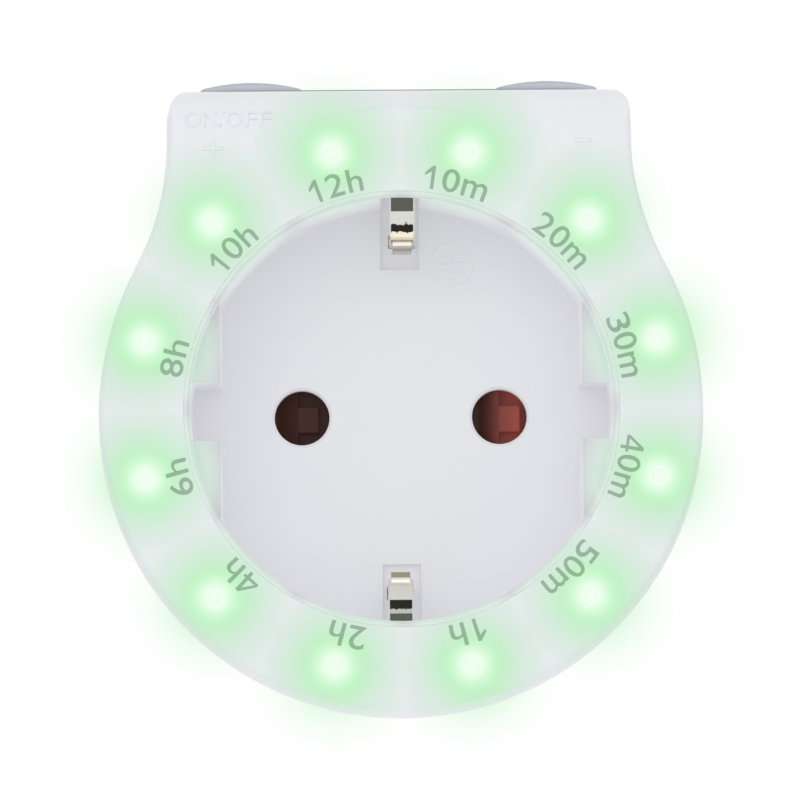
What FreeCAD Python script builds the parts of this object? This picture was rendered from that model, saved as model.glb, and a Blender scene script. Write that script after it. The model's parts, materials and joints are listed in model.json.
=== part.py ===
import FreeCAD, Part
import math
import os
import Sketcher

# A plug-in timer switch. A plug nose with two pins goes into a wall socket, and the round body
# carries a socket of its own, a ring of twelve lamps that show the running time, and two push
# buttons in the square head.
# X is to the right, Z is up, the front ring faces -Y and the plug pins point along +Y.
# The origin is the middle of the plug nose's end face, halfway between the two pins.

SIZES = {
    # Body
    "body_depth": 60.0,  # nose face to front ring
    "nose_length": 17.0,  # nose face to shoulder
    "seam_depth": 15.0,  # front ring to the seam between the two shells
    "body_radius": 29.0,
    "cover_taper": 0.6,  # how much narrower the body is at the front ring
    "wall": 2.0,
    "head_inset": 6.7,  # body radius to the head's side
    "head_rise": 1.3,  # how far the head's top lies above the round body
    "head_corner": 2.0,
    "head_blend_cut": 1.0,  # how much smaller the hollow's radius is than the body's
    "head_roll": 3.5,  # rounding of the head's upper front edge
    "edge_round": 0.6,
    "back_round": 1.8,
    "rear_draft": 0.5,  # how much narrower the rear shell is at its back
    "seam_groove": 0.15,
    "lip_length": 2.0,
    "lip_gap": 0.1,
    # Socket
    "ring_land": 8.4,  # from the recess to the ring's edge
    "recess_depth": 17.5,
    "rim_width": 0.55,
    "rim_gap": 0.012,
    "mouth_bevel": 0.25,
    "insert_wall": 1.5,
    "floor_wall": 2.5,
    "side_block_sink": 2.9,  # from the recess wall to a side block's flat
    "block_depth": 3.5,  # front ring to the front of the side blocks
    "block_round": 0.4,
    "notch_height": 5.5,
    "pin_inset": 7.6,  # from a side block's flat to the middle of the pin hole
    "pin_hole_radius": 2.65,
    "clip_slot_width": 3.7,
    "clip_slot_inner": 2.73,  # both ends of the slot, from the plug's earth surface
    "clip_slot_outer": 5.4,
    "clip_slot_cover": 1.4,
    "clip_slot_sink": 0.8,
    "clip_boss_wall": 1.0,
    # Lamps
    "lamp_inset": 3.4,  # from the ring's edge to the lamps' circle
    "lamp_first_angle": 15.0,
    "window_radius": 0.75,
    "window_gap": 0.05,
    "guide_thick": 1.2,
    "guide_side_gap": 0.3,
    "lamp_gap": 0.3,
    "lamp_height": 1.5,
    "lamp_length": 2.0,
    "lamp_width": 1.6,
    "lamp_lens_radius": 0.6,
    "lamp_board_inner_gap": 0.5,
    "lamp_board_outer_gap": 0.4,
    "board_thick": 1.2,
    "lamp_screw_inset": 1.0,  # how far the screws lie inside the lamps' circle
    "lamp_post_radius": 1.5,
    # Buttons
    "button_inset": 5.75,  # from the panel's end to a button's middle
    "button_depth": 14.3,  # front ring to the buttons' middle
    "button_radius": 5.0,
    "button_rise": 1.7,  # how far a button's dome stands above the head
    "dome_radius": 19.0,
    "dome_edge": 0.5,
    "button_travel": 0.5,
    "button_gap": 0.1,
    "button_flange_radius": 5.5,
    "button_flange_thick": 0.6,
    "button_stop_gap": 0.2,
    "stem_radius": 1.5,
    "panel_side": 2.4,  # from the head's side to the panel's end
    "panel_height": 13.8,
    "panel_rise": 0.45,
    "panel_thick": 1.5,
    "panel_corner": 5.0,
    "panel_skirt": 1.2,
    "panel_flange": 0.6,
    "panel_gap": 0.1,
    "tact_size": 4.0,
    "tact_side_gap": 0.25,
    "tact_height": 2.7,
    "plunger_radius": 1.0,
    "plunger_gap": 0.08,
    "plunger_length": 1.6,
    "button_board_sink": 6.4,  # from the head's top to the board
    "button_board_thick": 1.0,
    "button_board_front": 7.0,  # front ring to the board's front edge
    "button_board_width": 16.0,
    "board_rib": 1.0,
    # Shutter
    "shutter_gap": 0.2,
    "shutter_thick": 2.4,
    "shutter_plate": 1.2,
    "shutter_height": 6.8,
    "shutter_travel": 5.6,
    "shutter_end_margin": 0.15,
    "shutter_block": 2.0,
    "shutter_ramp": 2.3,
    "spring_radius": 0.95,
    "spring_wire": 0.3,
    "spring_room": 7.2,
    # Contacts
    "carrier_end": 6.5,  # from a contact's middle to the carrier's end
    "carrier_height": 12.4,
    "carrier_back": 24.5,  # nose face to the carrier's back
    "carrier_front_wall": 0.4,
    "carrier_end_wall": 0.8,
    "ear_radius": 2.6,
    "ear_thick": 1.4,
    "ear_shift": 3.5,  # from a contact's middle outwards to the ear
    "ear_z": 8.6,
    "contact_width": 6.0,
    "contact_thick": 0.8,
    "contact_grip_gap": 0.05,
    "contact_flare": 0.65,
    "contact_back": 22.4,  # nose face to the contact's back
    # Plug
    "pin_radius": 2.4,
    "pin_seat_radius": 2.6,
    "pin_length": 19.0,
    "pin_collar_radius": 3.2,
    "pin_collar": 2.0,
    "pin_stub_radius": 1.8,
    "pin_stub": 12.6,  # nose face to the stub's end
    "press_gap": 0.02,
    "nose_fit": 0.7,  # how much smaller the plug nose is than the recess
    "nose_flat_fit": 0.5,
    "nose_rib": 5.0,
    "nose_groove": 6.4,
    "nose_bevel": 0.8,
    "nose_wall": 3.0,
    "earth_sink": 2.4,  # from the nose's round to the outer face of its earth strips
    "earth_strip_thick": 0.6,
    "earth_strip_width": 5.0,
    "earth_strip_start": 2.3,
    "earth_strip_end": 23.45,
    "strap_width": 4.0,
    "strap_thick": 0.8,
    "clip_width": 2.4,
    "clip_shift": 0.18,  # how far each clip lies beside its slot's middle
    "clip_thick": 0.5,
    "clip_bow": 0.8,  # how far a clip's bow stands in from the plug's earth surface
    "clip_apex_depth": 6.2,  # front ring to the clip's innermost place
    "clip_mouth_depth": 2.5,
    "clip_flare": 3.4,  # how far its mouth stands out from there
    "clip_pad_width": 1.8,
    "clip_pad_depth": 5.9,  # front ring to the front of the pad that touches the plug
    "clip_pad_length": 5.0,
    "clip_pad_bow": 1.65,
    "clip_root_gap": 2.0,  # socket floor to the clip's root
    "clip_tail": 2.0,
    "retainer_thick": 2.0,
    "bar_thick": 0.8,
    "bar_width": 3.0,
    "bar_foot_depth": 11.2,
    # Power board
    "power_board_front": 22.0,  # nose face to the board's front
    "power_board_thick": 1.6,
    "board_edge_gap": 1.2,
    "relay_gap": 3.0,  # from the socket floor to the tops of the tall components
    "film_gap": 4.5,
    "can_gap": 6.0,
    "can_x": 9.6,
    "can_radius": 5.0,
    "board_screw_inset": 3.4,
    "board_screw_z": 6.0,
    # Screws
    "housing_screw_side": 4.0,  # from the head's side
    "housing_screw_drop": 5.7,  # from the head's top
    "front_post_radius": 2.2,
    "rear_post_radius": 2.4,
    "housing_screw_radius": 1.2,
    "housing_head_radius": 2.1,
    "housing_screw_bite": 8.0,
    "small_screw_radius": 0.85,
    "small_head_radius": 1.7,
    "small_head_height": 1.0,
    "lead_radius": 0.35,
    "lead_gap": 0.05,
    "lead_length": 0.6,  # how far a lead stands out behind the board
    "rib_thick": 2.0,
    "rib_overlap": 0.7,  # how far the ribs reach behind the socket insert
    "hook_width": 7.0,
}

LAMP_LABELS = ["10m", "20m", "30m", "40m", "50m", "1h", "2h", "4h", "6h", "8h", "10h", "12h"]
ROUND_STEPS = 4
EXTRA = 1.0  # how far a cutting shape runs past the face that it opens

DOC = FreeCAD.newDocument("timer_switch")
SHEET = DOC.addObject("Spreadsheet::Sheet", "Sizes")
PARTS = {}
Vector = FreeCAD.Vector


class Size:
    """A number in millimetres or degrees, kept together with the sheet expression that gives it."""

    def __init__(self, number, text):
        self.number = float(number)
        self.text = text

    def __float__(self):
        return self.number

    def __add__(self, other):
        other = as_size(other)
        return Size(self.number + other.number, f"({self.text} + {other.text})")

    def __radd__(self, other):
        return as_size(other) + self

    def __sub__(self, other):
        other = as_size(other)
        return Size(self.number - other.number, f"({self.text} - {other.text})")

    def __rsub__(self, other):
        return as_size(other) - self

    def __mul__(self, other):
        other = as_size(other)
        return Size(self.number * other.number, f"({self.text} * {other.text})")

    def __rmul__(self, other):
        return as_size(other) * self

    def __truediv__(self, other):
        other = as_size(other)
        return Size(self.number / other.number, f"({self.text} / {other.text})")

    def __neg__(self):
        return Size(-self.number, f"(0 - {self.text})")


def as_size(value):
    if isinstance(value, Size):
        return value
    return Size(value, f"({float(value)})" if value < 0 else f"{float(value)}")


def sine(angle):
    angle = as_size(angle)
    return Size(math.sin(math.radians(angle.number)), f"sin({angle.text})")


def cosine(angle):
    angle = as_size(angle)
    return Size(math.cos(math.radians(angle.number)), f"cos({angle.text})")


def root(value):
    return Size(math.sqrt(value.number), f"sqrt({value.text})")


def fill_sheet():
    """Writes every driving size to the sheet and returns them by name."""
    sizes = {}
    for row, (alias, number) in enumerate(SIZES.items(), start=1):
        SHEET.set(f"A{row}", alias)
        SHEET.set(f"B{row}", str(number))
        SHEET.setAlias(f"B{row}", alias)
        sizes[alias] = Size(number, f"Sizes.{alias}")
    DOC.recompute()
    return sizes


class Named:
    """The driving sizes as attributes."""

    def __init__(self, sizes):
        self.__dict__.update(sizes)


s = Named(fill_sheet())

# Places along the depth, from the front ring to the nose
front = -s.body_depth
front_inside = front + s.wall
guide_back = front_inside + s.guide_thick
lamp_front = guide_back + s.lamp_gap
lamp_board_front = lamp_front + s.lamp_height
lamp_board_back = lamp_board_front + s.board_thick
seam = front + s.seam_depth
recess_floor = front + s.recess_depth
floor_back = recess_floor + s.floor_wall
block_front = front + s.block_depth
shutter_front = floor_back + s.shutter_gap
shutter_back = shutter_front + s.shutter_thick
channel_back = shutter_back + s.shutter_gap
board_front = -s.power_board_front
board_back = board_front + s.power_board_thick
shoulder = -s.nose_length
shoulder_inside = shoulder - s.wall
button_y = front + s.button_depth
clip_root_y = floor_back + s.clip_root_gap
board_room = board_front - floor_back

# Places across the body
ring_radius = s.body_radius - s.cover_taper
recess_radius = ring_radius - s.ring_land
insert_radius = recess_radius + s.insert_wall
rim_radius = recess_radius + s.rim_width
flat_half = recess_radius - s.side_block_sink
half_pitch = flat_half - s.pin_inset
nose_radius = recess_radius - s.nose_fit
nose_flat_half = flat_half - s.nose_flat_fit
earth_surface = nose_radius - s.earth_sink
groove_floor = earth_surface - s.earth_strip_thick
clip_tail_z = earth_surface - 0.05 - s.clip_thick / 2
clip_reach = earth_surface - s.clip_bow
clip_mouth = earth_surface + s.clip_flare
clip_slot_start = earth_surface - s.clip_slot_inner
clip_slot_end = earth_surface + s.clip_slot_outer
clip_boss_top = clip_slot_end + s.clip_boss_wall
clip_boss_start = insert_radius - 3.5
clip_boss_half = s.clip_slot_width / 2 + 1.15
lamp_circle = ring_radius - s.lamp_inset
lamp_screw_circle = lamp_circle - s.lamp_screw_inset
guide_inner = insert_radius + s.guide_side_gap
guide_outer = ring_radius - s.wall - s.guide_side_gap
carrier_half = half_pitch + s.carrier_end
ear_x = half_pitch + s.ear_shift
rib_start = insert_radius - s.rib_overlap
board_edge = s.body_radius - s.wall - s.board_edge_gap
board_screw_x = board_edge - s.board_screw_inset
dropper_x = (s.can_x + s.can_radius + board_edge - 4.0) / 2

# Places in the head
half_head = s.body_radius - s.head_inset
head_top = s.body_radius + s.head_rise
head_blend = s.body_radius - s.head_blend_cut
head_ceiling = head_top - s.wall
panel_half = half_head - s.panel_side
panel_top = head_top + s.panel_rise
button_x = panel_half - s.button_inset
button_apex = head_top + s.button_rise
button_board_top = head_top - s.button_board_sink
button_board_bottom = button_board_top - s.button_board_thick
housing_screw_x = half_head - s.housing_screw_side
housing_screw_z = head_top - s.housing_screw_drop
button_board_half = housing_screw_x - s.rear_post_radius
tact_top = button_board_top + s.tact_height
tact_x = button_board_half - s.tact_size / 2 - s.tact_side_gap
stem_bottom = tact_top + 0.9
SIDES = (-1, 1)

TURNS = {
    "x": FreeCAD.Rotation(Vector(0, 1, 0), 90),
    "y": FreeCAD.Rotation(Vector(1, 0, 0), -90),
    "z": FreeCAD.Rotation(),
}


def bind(feature, sizes):
    for place, size in sizes.items():
        feature.setExpression(place, as_size(size).text)


def move_to(feature, x, y, z):
    bind(feature, {"Placement.Base.x": x, "Placement.Base.y": y, "Placement.Base.z": z})
    return feature


def box(x, y, z):
    """A block between two places on each axis."""
    feature = DOC.addObject("Part::Box", "Block")
    bind(feature, {"Length": x[1] - x[0], "Width": y[1] - y[0], "Height": z[1] - z[0]})
    return move_to(feature, x[0], y[0], z[0])


def across(half):
    return (-as_size(half), as_size(half))


def on_axis(feature, axis, start, across_at):
    """Turns a round primitive along an axis and puts its start there."""
    feature.Placement = FreeCAD.Placement(Vector(), TURNS[axis])
    places = list(across_at)
    places.insert("xyz".index(axis), start)
    return move_to(feature, *places)


def rod(axis, radius, span, across_at=(0, 0)):
    """A round bar along one axis. across_at is its place on the other two axes."""
    feature = DOC.addObject("Part::Cylinder", "Rod")
    bind(feature, {"Radius": radius, "Height": span[1] - span[0]})
    return on_axis(feature, axis, span[0], across_at)


def cone(axis, radii, span, across_at=(0, 0)):
    feature = DOC.addObject("Part::Cone", "Cone")
    bind(feature, {"Radius1": radii[0], "Radius2": radii[1], "Height": span[1] - span[0]})
    return on_axis(feature, axis, span[0], across_at)


def ball(radius, x, y, z):
    feature = DOC.addObject("Part::Sphere", "Ball")
    bind(feature, {"Radius": radius})
    return move_to(feature, x, y, z)


def fuse(*features):
    result = DOC.addObject("Part::MultiFuse", "Fuse")
    result.Shapes = list(features)
    result.Refine = True
    return result


def common(*features):
    result = DOC.addObject("Part::MultiCommon", "Common")
    result.Shapes = list(features)
    return result


def cut(base, *tools):
    result = DOC.addObject("Part::Cut", "Cut")
    result.Base = base
    result.Tool = tools[0] if len(tools) == 1 else fuse(*tools)
    return result


def group(*features):
    """Several separate solids that share one sub-part."""
    result = DOC.addObject("Part::Compound", "Group")
    result.Links = list(features)
    return result


def rounded(feature, radius, chosen):
    """Rounds the edges that chosen() picks."""
    DOC.recompute()
    result = DOC.addObject("Part::Fillet", "Rounded")
    result.Base = feature
    size = as_size(radius).number
    numbers = [i for i, edge in enumerate(feature.Shape.Edges, start=1) if chosen(edge)]
    result.Edges = [(number, size, size) for number in numbers]
    return result


def from_shape(shape):
    feature = DOC.addObject("Part::Feature", "Formed")
    feature.Shape = shape
    feature.Placement = FreeCAD.Placement()
    return feature


def sub_part(label, feature):
    feature.Label = label
    PARTS[label] = feature
    return feature


def plane_of(body, role):
    return [item for item in body.Origin.OriginFeatures if item.Role == role][0]


def bound_sketch(body, role, points):
    """A closed sketch of straight sides whose corners are tied to the sheet."""
    sketch = body.newObject("Sketcher::SketchObject", "Profile")
    sketch.AttachmentSupport = [(plane_of(body, role), "")]
    sketch.MapMode = "FlatFace"
    corners = [(as_size(u), as_size(v)) for u, v in points]
    count = len(corners)
    for index in range(count):
        start = corners[index]
        end = corners[(index + 1) % count]
        line = Part.LineSegment(
            Vector(start[0].number, start[1].number, 0), Vector(end[0].number, end[1].number, 0)
        )
        sketch.addGeometry(line, False)
    for index in range(count):
        sketch.addConstraint(Sketcher.Constraint("Coincident", index, 2, (index + 1) % count, 1))
    for index, corner in enumerate(corners):
        for kind, size, axis in (("DistanceX", corner[0], -2), ("DistanceY", corner[1], -1)):
            if size.number == 0:
                sketch.addConstraint(Sketcher.Constraint("PointOnObject", index, 1, axis))
            else:
                rule = Sketcher.Constraint(kind, -1, 1, index, 1, size.number)
                place = sketch.addConstraint(rule)
                sketch.setExpression(f"Constraints[{place}]", size.text)
    return sketch


def padded(points, role, thickness):
    """A body made from a straight-sided profile, as thick as given, centred on its plane."""
    body = DOC.addObject("PartDesign::Body", "Padded")
    sketch = bound_sketch(body, role, points)
    pad = body.newObject("PartDesign::Pad", "Pad")
    pad.Profile = (sketch, [""])
    pad.Midplane = True
    bind(pad, {"Length": thickness})
    return body


def turned(points, role="YZ_Plane", axis="H_Axis"):
    """A round body: a profile turned about an axis of its own plane."""
    body = DOC.addObject("PartDesign::Body", "Turned")
    sketch = bound_sketch(body, role, points)
    turn = body.newObject("PartDesign::Revolution", "Turn")
    turn.Profile = (sketch, [""])
    turn.ReferenceAxis = (sketch, [axis])
    turn.Angle = 360
    return body


def bent_strip(path, bend_radius, thickness, width):
    """A flat metal strip bent along a path of (y, z) places, centred on x = 0."""
    points = [Vector(0, as_size(y).number, as_size(z).number) for y, z in path]
    radius = as_size(bend_radius).number
    edges = []
    last = points[0]
    for before, corner, after in zip(points, points[1:], points[2:]):
        into = (corner - before).normalize()
        out = (after - corner).normalize()
        turn = into.getAngle(out)
        setback = radius * math.tan(turn / 2)
        start = corner - into * setback
        end = corner + out * setback
        inward = (out - into).normalize()
        middle = corner + inward * (radius / math.cos(turn / 2) - radius)
        edges.append(Part.LineSegment(last, start).toShape())
        edges.append(Part.Arc(start, middle, end).toShape())
        last = end
    edges.append(Part.LineSegment(last, points[-1]).toShape())
    half = as_size(thickness).number / 2
    sides = [offset_path(edges, sign * half) for sign in SIDES]
    ends = [
        Part.LineSegment(sides[0][0].firstVertex().Point, sides[1][0].firstVertex().Point).toShape(),
        Part.LineSegment(sides[0][-1].lastVertex().Point, sides[1][-1].lastVertex().Point).toShape(),
    ]
    wire = Part.Wire(Part.__sortEdges__(sides[0] + sides[1] + ends))
    wide = as_size(width).number
    face = Part.Face(wire)
    face.translate(Vector(-wide / 2, 0, 0))
    return from_shape(face.extrude(Vector(wide, 0, 0)))


def offset_path(edges, distance):
    """The same lines and arcs, moved sideways in the YZ plane by a distance."""
    moved = []
    for edge in edges:
        places = []
        for share in (0, 0.5, 1):
            step = edge.FirstParameter + share * (edge.LastParameter - edge.FirstParameter)
            along = edge.tangentAt(step).normalize()
            places.append(edge.valueAt(step) + Vector(0, -along.z, along.y) * distance)
        if edge.Curve.TypeId == "Part::GeomLine":
            moved.append(Part.LineSegment(places[0], places[2]).toShape())
        else:
            moved.append(Part.Arc(*places).toShape())
    return moved


def lamp_place(index, circle):
    """Place on a circle round the socket, counted clockwise from the top of the front view."""
    angle = s.lamp_first_angle + index * (360 / len(LAMP_LABELS))
    return circle * sine(angle), circle * cosine(angle), angle


# Housing


def outline(inset, drop, y):
    """The body's outline at a depth: a circle whose top runs through hollows into the head.

    inset moves the sides in and drop moves the head's top down."""
    radius = s.body_radius.number - inset
    half = half_head.number - inset
    top = head_top.number - drop
    corner = s.head_corner.number - drop
    blend = head_blend.number + inset
    middle_x = half_head.number + head_blend.number
    middle_z = math.sqrt((s.body_radius.number + head_blend.number) ** 2 - middle_x**2)
    share = radius / (s.body_radius.number + head_blend.number)
    touch_x = middle_x * share
    touch_z = middle_z * share
    lean = math.atan2(middle_z, middle_x) / 2
    slope = corner * math.sqrt(0.5)
    corner_z = top - corner
    corner_x = half - corner
    right = [
        [(corner_x, top), (corner_x + slope, corner_z + slope), (half, corner_z)],
        [(half, corner_z), (half, middle_z)],
        [
            (half, middle_z),
            (middle_x - blend * math.cos(lean), middle_z - blend * math.sin(lean)),
            (touch_x, touch_z),
        ],
        [(touch_x, touch_z), arc_middle(touch_x, touch_z, radius), (0, -radius)],
    ]
    left = [[(-x, z) for x, z in reversed(run)] for run in reversed(right)]
    runs = [[(-corner_x, top), (corner_x, top)]] + right + left
    edges = []
    for run in runs:
        places = [Vector(x, y, z) for x, z in run]
        curve = Part.LineSegment(*places) if len(places) == 2 else Part.Arc(*places)
        edges.append(curve.toShape())
    return Part.Wire(edges)


def arc_middle(x, z, radius):
    """The place halfway along the circle from (x, z) down to its lowest point."""
    angle = (math.atan2(z, x) - math.pi / 2) / 2
    return radius * math.cos(angle), radius * math.sin(angle)


def rounded_steps(edge_y, radius, inward, inset):
    """Sections that round an edge, as (place, inset, drop) from the face to the full width."""
    steps = []
    for step in range(ROUND_STEPS + 1):
        angle = math.radians(90 * step / ROUND_STEPS)
        depth = radius * (1 - math.cos(angle))
        drop = radius * (1 - math.sin(angle))
        steps.append((edge_y + inward * depth, inset + drop, drop))
    return steps


def cavity(circle_inset, head_inset, y):
    """The room inside the shells, for a depth span."""
    half = half_head - head_inset
    return fuse(
        rod("y", s.body_radius - circle_inset, y),
        box(across(half), y, (0, head_top - head_inset)),
    )


def panel_opening():
    half = panel_half + s.panel_gap
    span = (
        button_y - s.panel_height / 2 - s.panel_gap,
        button_y + s.panel_height / 2 + s.panel_gap,
    )
    opening = box(across(half), span, (head_ceiling - EXTRA, head_top + EXTRA))
    return rounded(opening, s.panel_corner + s.panel_gap, is_along_z)


def is_along_z(edge):
    first = edge.Vertexes[0].Point
    last = edge.Vertexes[-1].Point
    return abs(first.x - last.x) < 0.001 and abs(first.y - last.y) < 0.001


def cover_skin():
    """The front shell's outer form, with its tapered side and the head's rolled upper edge."""
    taper = s.cover_taper.number
    groove = s.seam_groove.number
    sections = rounded_steps(front.number, s.edge_round.number, 1, taper)
    sections += [(seam.number - groove, 0, 0), (seam.number, groove, groove)]
    skin = Part.makeLoft([outline(inset, drop, y) for y, inset, drop in sections], True, True)
    roll = s.head_roll.number
    top = head_top.number
    start = front.number
    profile = [
        Part.Arc(
            Vector(0, start, top - roll),
            Vector(0, start + roll * (1 - math.sqrt(0.5)), top - roll * (1 - math.sqrt(0.5))),
            Vector(0, start + roll, top),
        ).toShape()
    ]
    corners = [(start + roll, top), (start + roll, top + 1), (start - 1, top + 1)]
    corners += [(start - 1, top - roll), (start, top - roll)]
    for first, second in zip(corners, corners[1:]):
        profile.append(Part.LineSegment(Vector(0, *first), Vector(0, *second)).toShape())
    face = Part.Face(Part.Wire(profile))
    half = half_head.number + 1
    face.translate(Vector(-half, 0, 0))
    above = face.extrude(Vector(2 * half, 0, 0))
    ring = Part.makeCylinder(
        ring_radius.number, roll + 2, Vector(0, start - 1, 0), Vector(0, 1, 0)
    )
    return from_shape(skin.cut(above.cut(ring)))


def front_cover():
    taper = s.cover_taper
    rabbet = s.wall / 2
    lamp_posts = [
        rod("y", s.lamp_post_radius, (front_inside, lamp_board_front), (side * lamp_screw_circle, 0))
        for side in SIDES
    ]
    screw_posts = [
        rod("y", s.front_post_radius, (front_inside, seam), (side * housing_screw_x, housing_screw_z))
        for side in SIDES
    ]
    shell = cut(
        cover_skin(),
        cavity(s.wall + taper, s.wall, (front_inside, seam + EXTRA)),
        cavity(rabbet, rabbet, (seam - s.lip_length - s.lip_gap, seam + EXTRA)),
    )
    holes = [rod("y", rim_radius + s.rim_gap, (front - EXTRA, front_inside + EXTRA))]
    for index in range(len(LAMP_LABELS)):
        x, z, _ = lamp_place(index, lamp_circle)
        holes.append(
            rod("y", s.window_radius + s.window_gap, (front - EXTRA, front_inside + EXTRA), (x, z))
        )
    for side in SIDES:
        holes.append(
            rod(
                "y",
                s.small_screw_radius + s.press_gap,
                (lamp_board_front - 3.2, lamp_board_front + EXTRA),
                (side * lamp_screw_circle, 0),
            )
        )
        holes.append(
            rod(
                "y",
                s.housing_screw_radius + s.press_gap,
                (seam - s.housing_screw_bite - 1, seam + EXTRA),
                (side * housing_screw_x, housing_screw_z),
            )
        )
    hook_slot = box(
        across(s.hook_width / 2 + 0.3), (seam - 5.4, seam - 2.8), (-ring_radius + 1.3, -ring_radius + 2.9)
    )
    whole = fuse(shell, *lamp_posts, *screw_posts)
    return cut(whole, *holes, hook_slot, panel_opening())


def housing_skin():
    """The rear shell's outer form without the nose."""
    groove = s.seam_groove.number
    sections = [(seam.number, groove, groove), (seam.number + groove, 0, 0)]
    back = rounded_steps(shoulder.number, s.back_round.number, -1, s.rear_draft.number)
    sections += list(reversed(back))
    wires = [outline(inset, drop, y) for y, inset, drop in sections]
    return from_shape(Part.makeLoft(wires, True, True))


def nose():
    """The plug nose: a round with two ribbed flats at the sides and a groove above and below."""
    bevel_start = -s.nose_bevel
    span = (shoulder - EXTRA, as_size(EXTRA))
    round_nose = fuse(
        rod("y", nose_radius, (shoulder - EXTRA, bevel_start)),
        cone("y", (nose_radius, nose_radius - s.nose_bevel), (bevel_start, 0)),
    )
    far = nose_radius + EXTRA
    cutters = []
    for side_x in SIDES:
        for side_z in SIDES:
            x = ordered(side_x * nose_flat_half, side_x * far)
            z = ordered(side_z * s.nose_rib / 2, side_z * far)
            cutters.append(box(x, (shoulder, span[1]), z))
    for side_z in SIDES:
        z = ordered(side_z * groove_floor, side_z * far)
        cutters.append(box(across(s.nose_groove / 2), (shoulder, span[1]), z))
    return cut(round_nose, *cutters)


def ordered(first, second):
    first = as_size(first)
    second = as_size(second)
    return (first, second) if first.number < second.number else (second, first)


def rear_housing():
    inset = s.wall
    deep = shoulder_inside
    screw_at = [(side * housing_screw_x, housing_screw_z) for side in SIDES]
    board_at = [(side * board_screw_x, s.board_screw_z) for side in SIDES]
    lip_inset = s.wall / 2 + s.lip_gap
    lip = cut(
        cavity(lip_inset, lip_inset, (seam - s.lip_length, seam + EXTRA)),
        cavity(inset, inset, (seam - s.lip_length - EXTRA, seam + 2 * EXTRA)),
        *[rod("y", 2.5, (seam - s.lip_length - EXTRA, seam), place) for place in screw_at],
    )
    room = cavity(inset, inset, (seam - EXTRA, deep))
    nose_half = nose_flat_half - s.wall
    nose_room = common(
        rod("y", nose_radius - s.wall, (deep - EXTRA, -s.nose_wall)),
        box(
            across(nose_half),
            (deep - EXTRA, -s.nose_wall),
            across(groove_floor - s.wall),
        ),
    )
    shell = cut(fuse(housing_skin(), nose()), room, nose_room)
    added = [lip]
    for place in screw_at:
        added.append(rod("y", s.rear_post_radius, (seam, deep + 0.5), place))
        added.append(rod("y", 3.2, (board_front, deep + 0.5), place))
    for place in board_at:
        added.append(rod("y", 2.6, (board_back, deep + 0.5), place))
    for side in SIDES:
        x = ordered(side * rib_start, side * (s.body_radius - 1.5))
        added.append(box(x, (floor_back, deep + 0.5), across(s.rib_thick / 2)))
    hook = s.hook_width / 2
    low = -s.body_radius
    added.append(box(across(hook), (seam - 5, seam + 1.5), (low + 3.0, low + 4.0)))
    added.append(box(across(hook), (seam + 0.2, seam + 1.5), (low + 1.6, low + 3.5)))
    added.append(box(across(hook - 0.3), (seam - 5, seam - 4.2), (low + 2.4, low + 3.5)))
    holes = [panel_opening()]
    for place in screw_at:
        holes.append(rod("y", s.housing_screw_radius + 0.15, (seam - EXTRA, shoulder), place))
        holes.append(rod("y", s.housing_head_radius + 0.2, (shoulder - 4, shoulder + EXTRA), place))
    for place in board_at:
        span = (board_back - EXTRA, board_back + 2.4)
        holes.append(rod("y", s.small_screw_radius + s.press_gap, span, place))
    for side in SIDES:
        place = (side * half_pitch, 0)
        holes.append(rod("y", s.pin_seat_radius + s.press_gap, (-s.nose_wall - EXTRA, EXTRA), place))
        strip = across(s.earth_strip_width / 2 + 0.05)
        low = side * (groove_floor - 0.02)
        z = ordered(low, side * (earth_surface + 0.05))
        holes.append(box(strip, (deep - EXTRA, shoulder + 0.5), z))
        leg = ordered(side * (groove_floor - 2.2), side * (earth_surface + EXTRA))
        start = -s.earth_strip_start - s.earth_strip_thick / 2
        holes.append(box(strip, (start - 0.25, start + s.earth_strip_thick + 0.05), leg))
    return cut(fuse(shell, *added), *holes)


# Socket insert


def socket_insert():
    rim = rod("y", rim_radius, (front, front_inside + 0.5))
    cup = rod("y", insert_radius, (front_inside, floor_back))
    bosses = [
        box(across(clip_boss_half), (front_inside, floor_back), ordered(side * clip_boss_start, side * clip_boss_top))
        for side in SIDES
    ]
    ribs = []
    rib_front = front + s.button_board_front + 1
    inner = clip_boss_half
    for side in SIDES:
        for start, low in ((inner, insert_radius - 1.5), (as_size(13.2), insert_radius - 7.5)):
            x = ordered(side * start, side * (start + s.board_rib))
            ribs.append(box(x, (rib_front, floor_back), (low, button_board_bottom)))
    return rounded(
        cut(fuse(rim, cup, *bosses, *ribs), *recess_cutters()),
        s.block_round,
        is_block_edge,
    )


def is_block_edge(edge):
    """The straight upright edges where a side block's front meets its flat."""
    first = edge.Vertexes[0].Point
    last = edge.Vertexes[-1].Point
    upright = abs(first.x - last.x) < 0.001 and abs(first.y - last.y) < 0.001
    on_flat = abs(abs(first.x) - flat_half.number) < 0.001
    return upright and on_flat and abs(first.y - block_front.number) < 0.001


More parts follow.
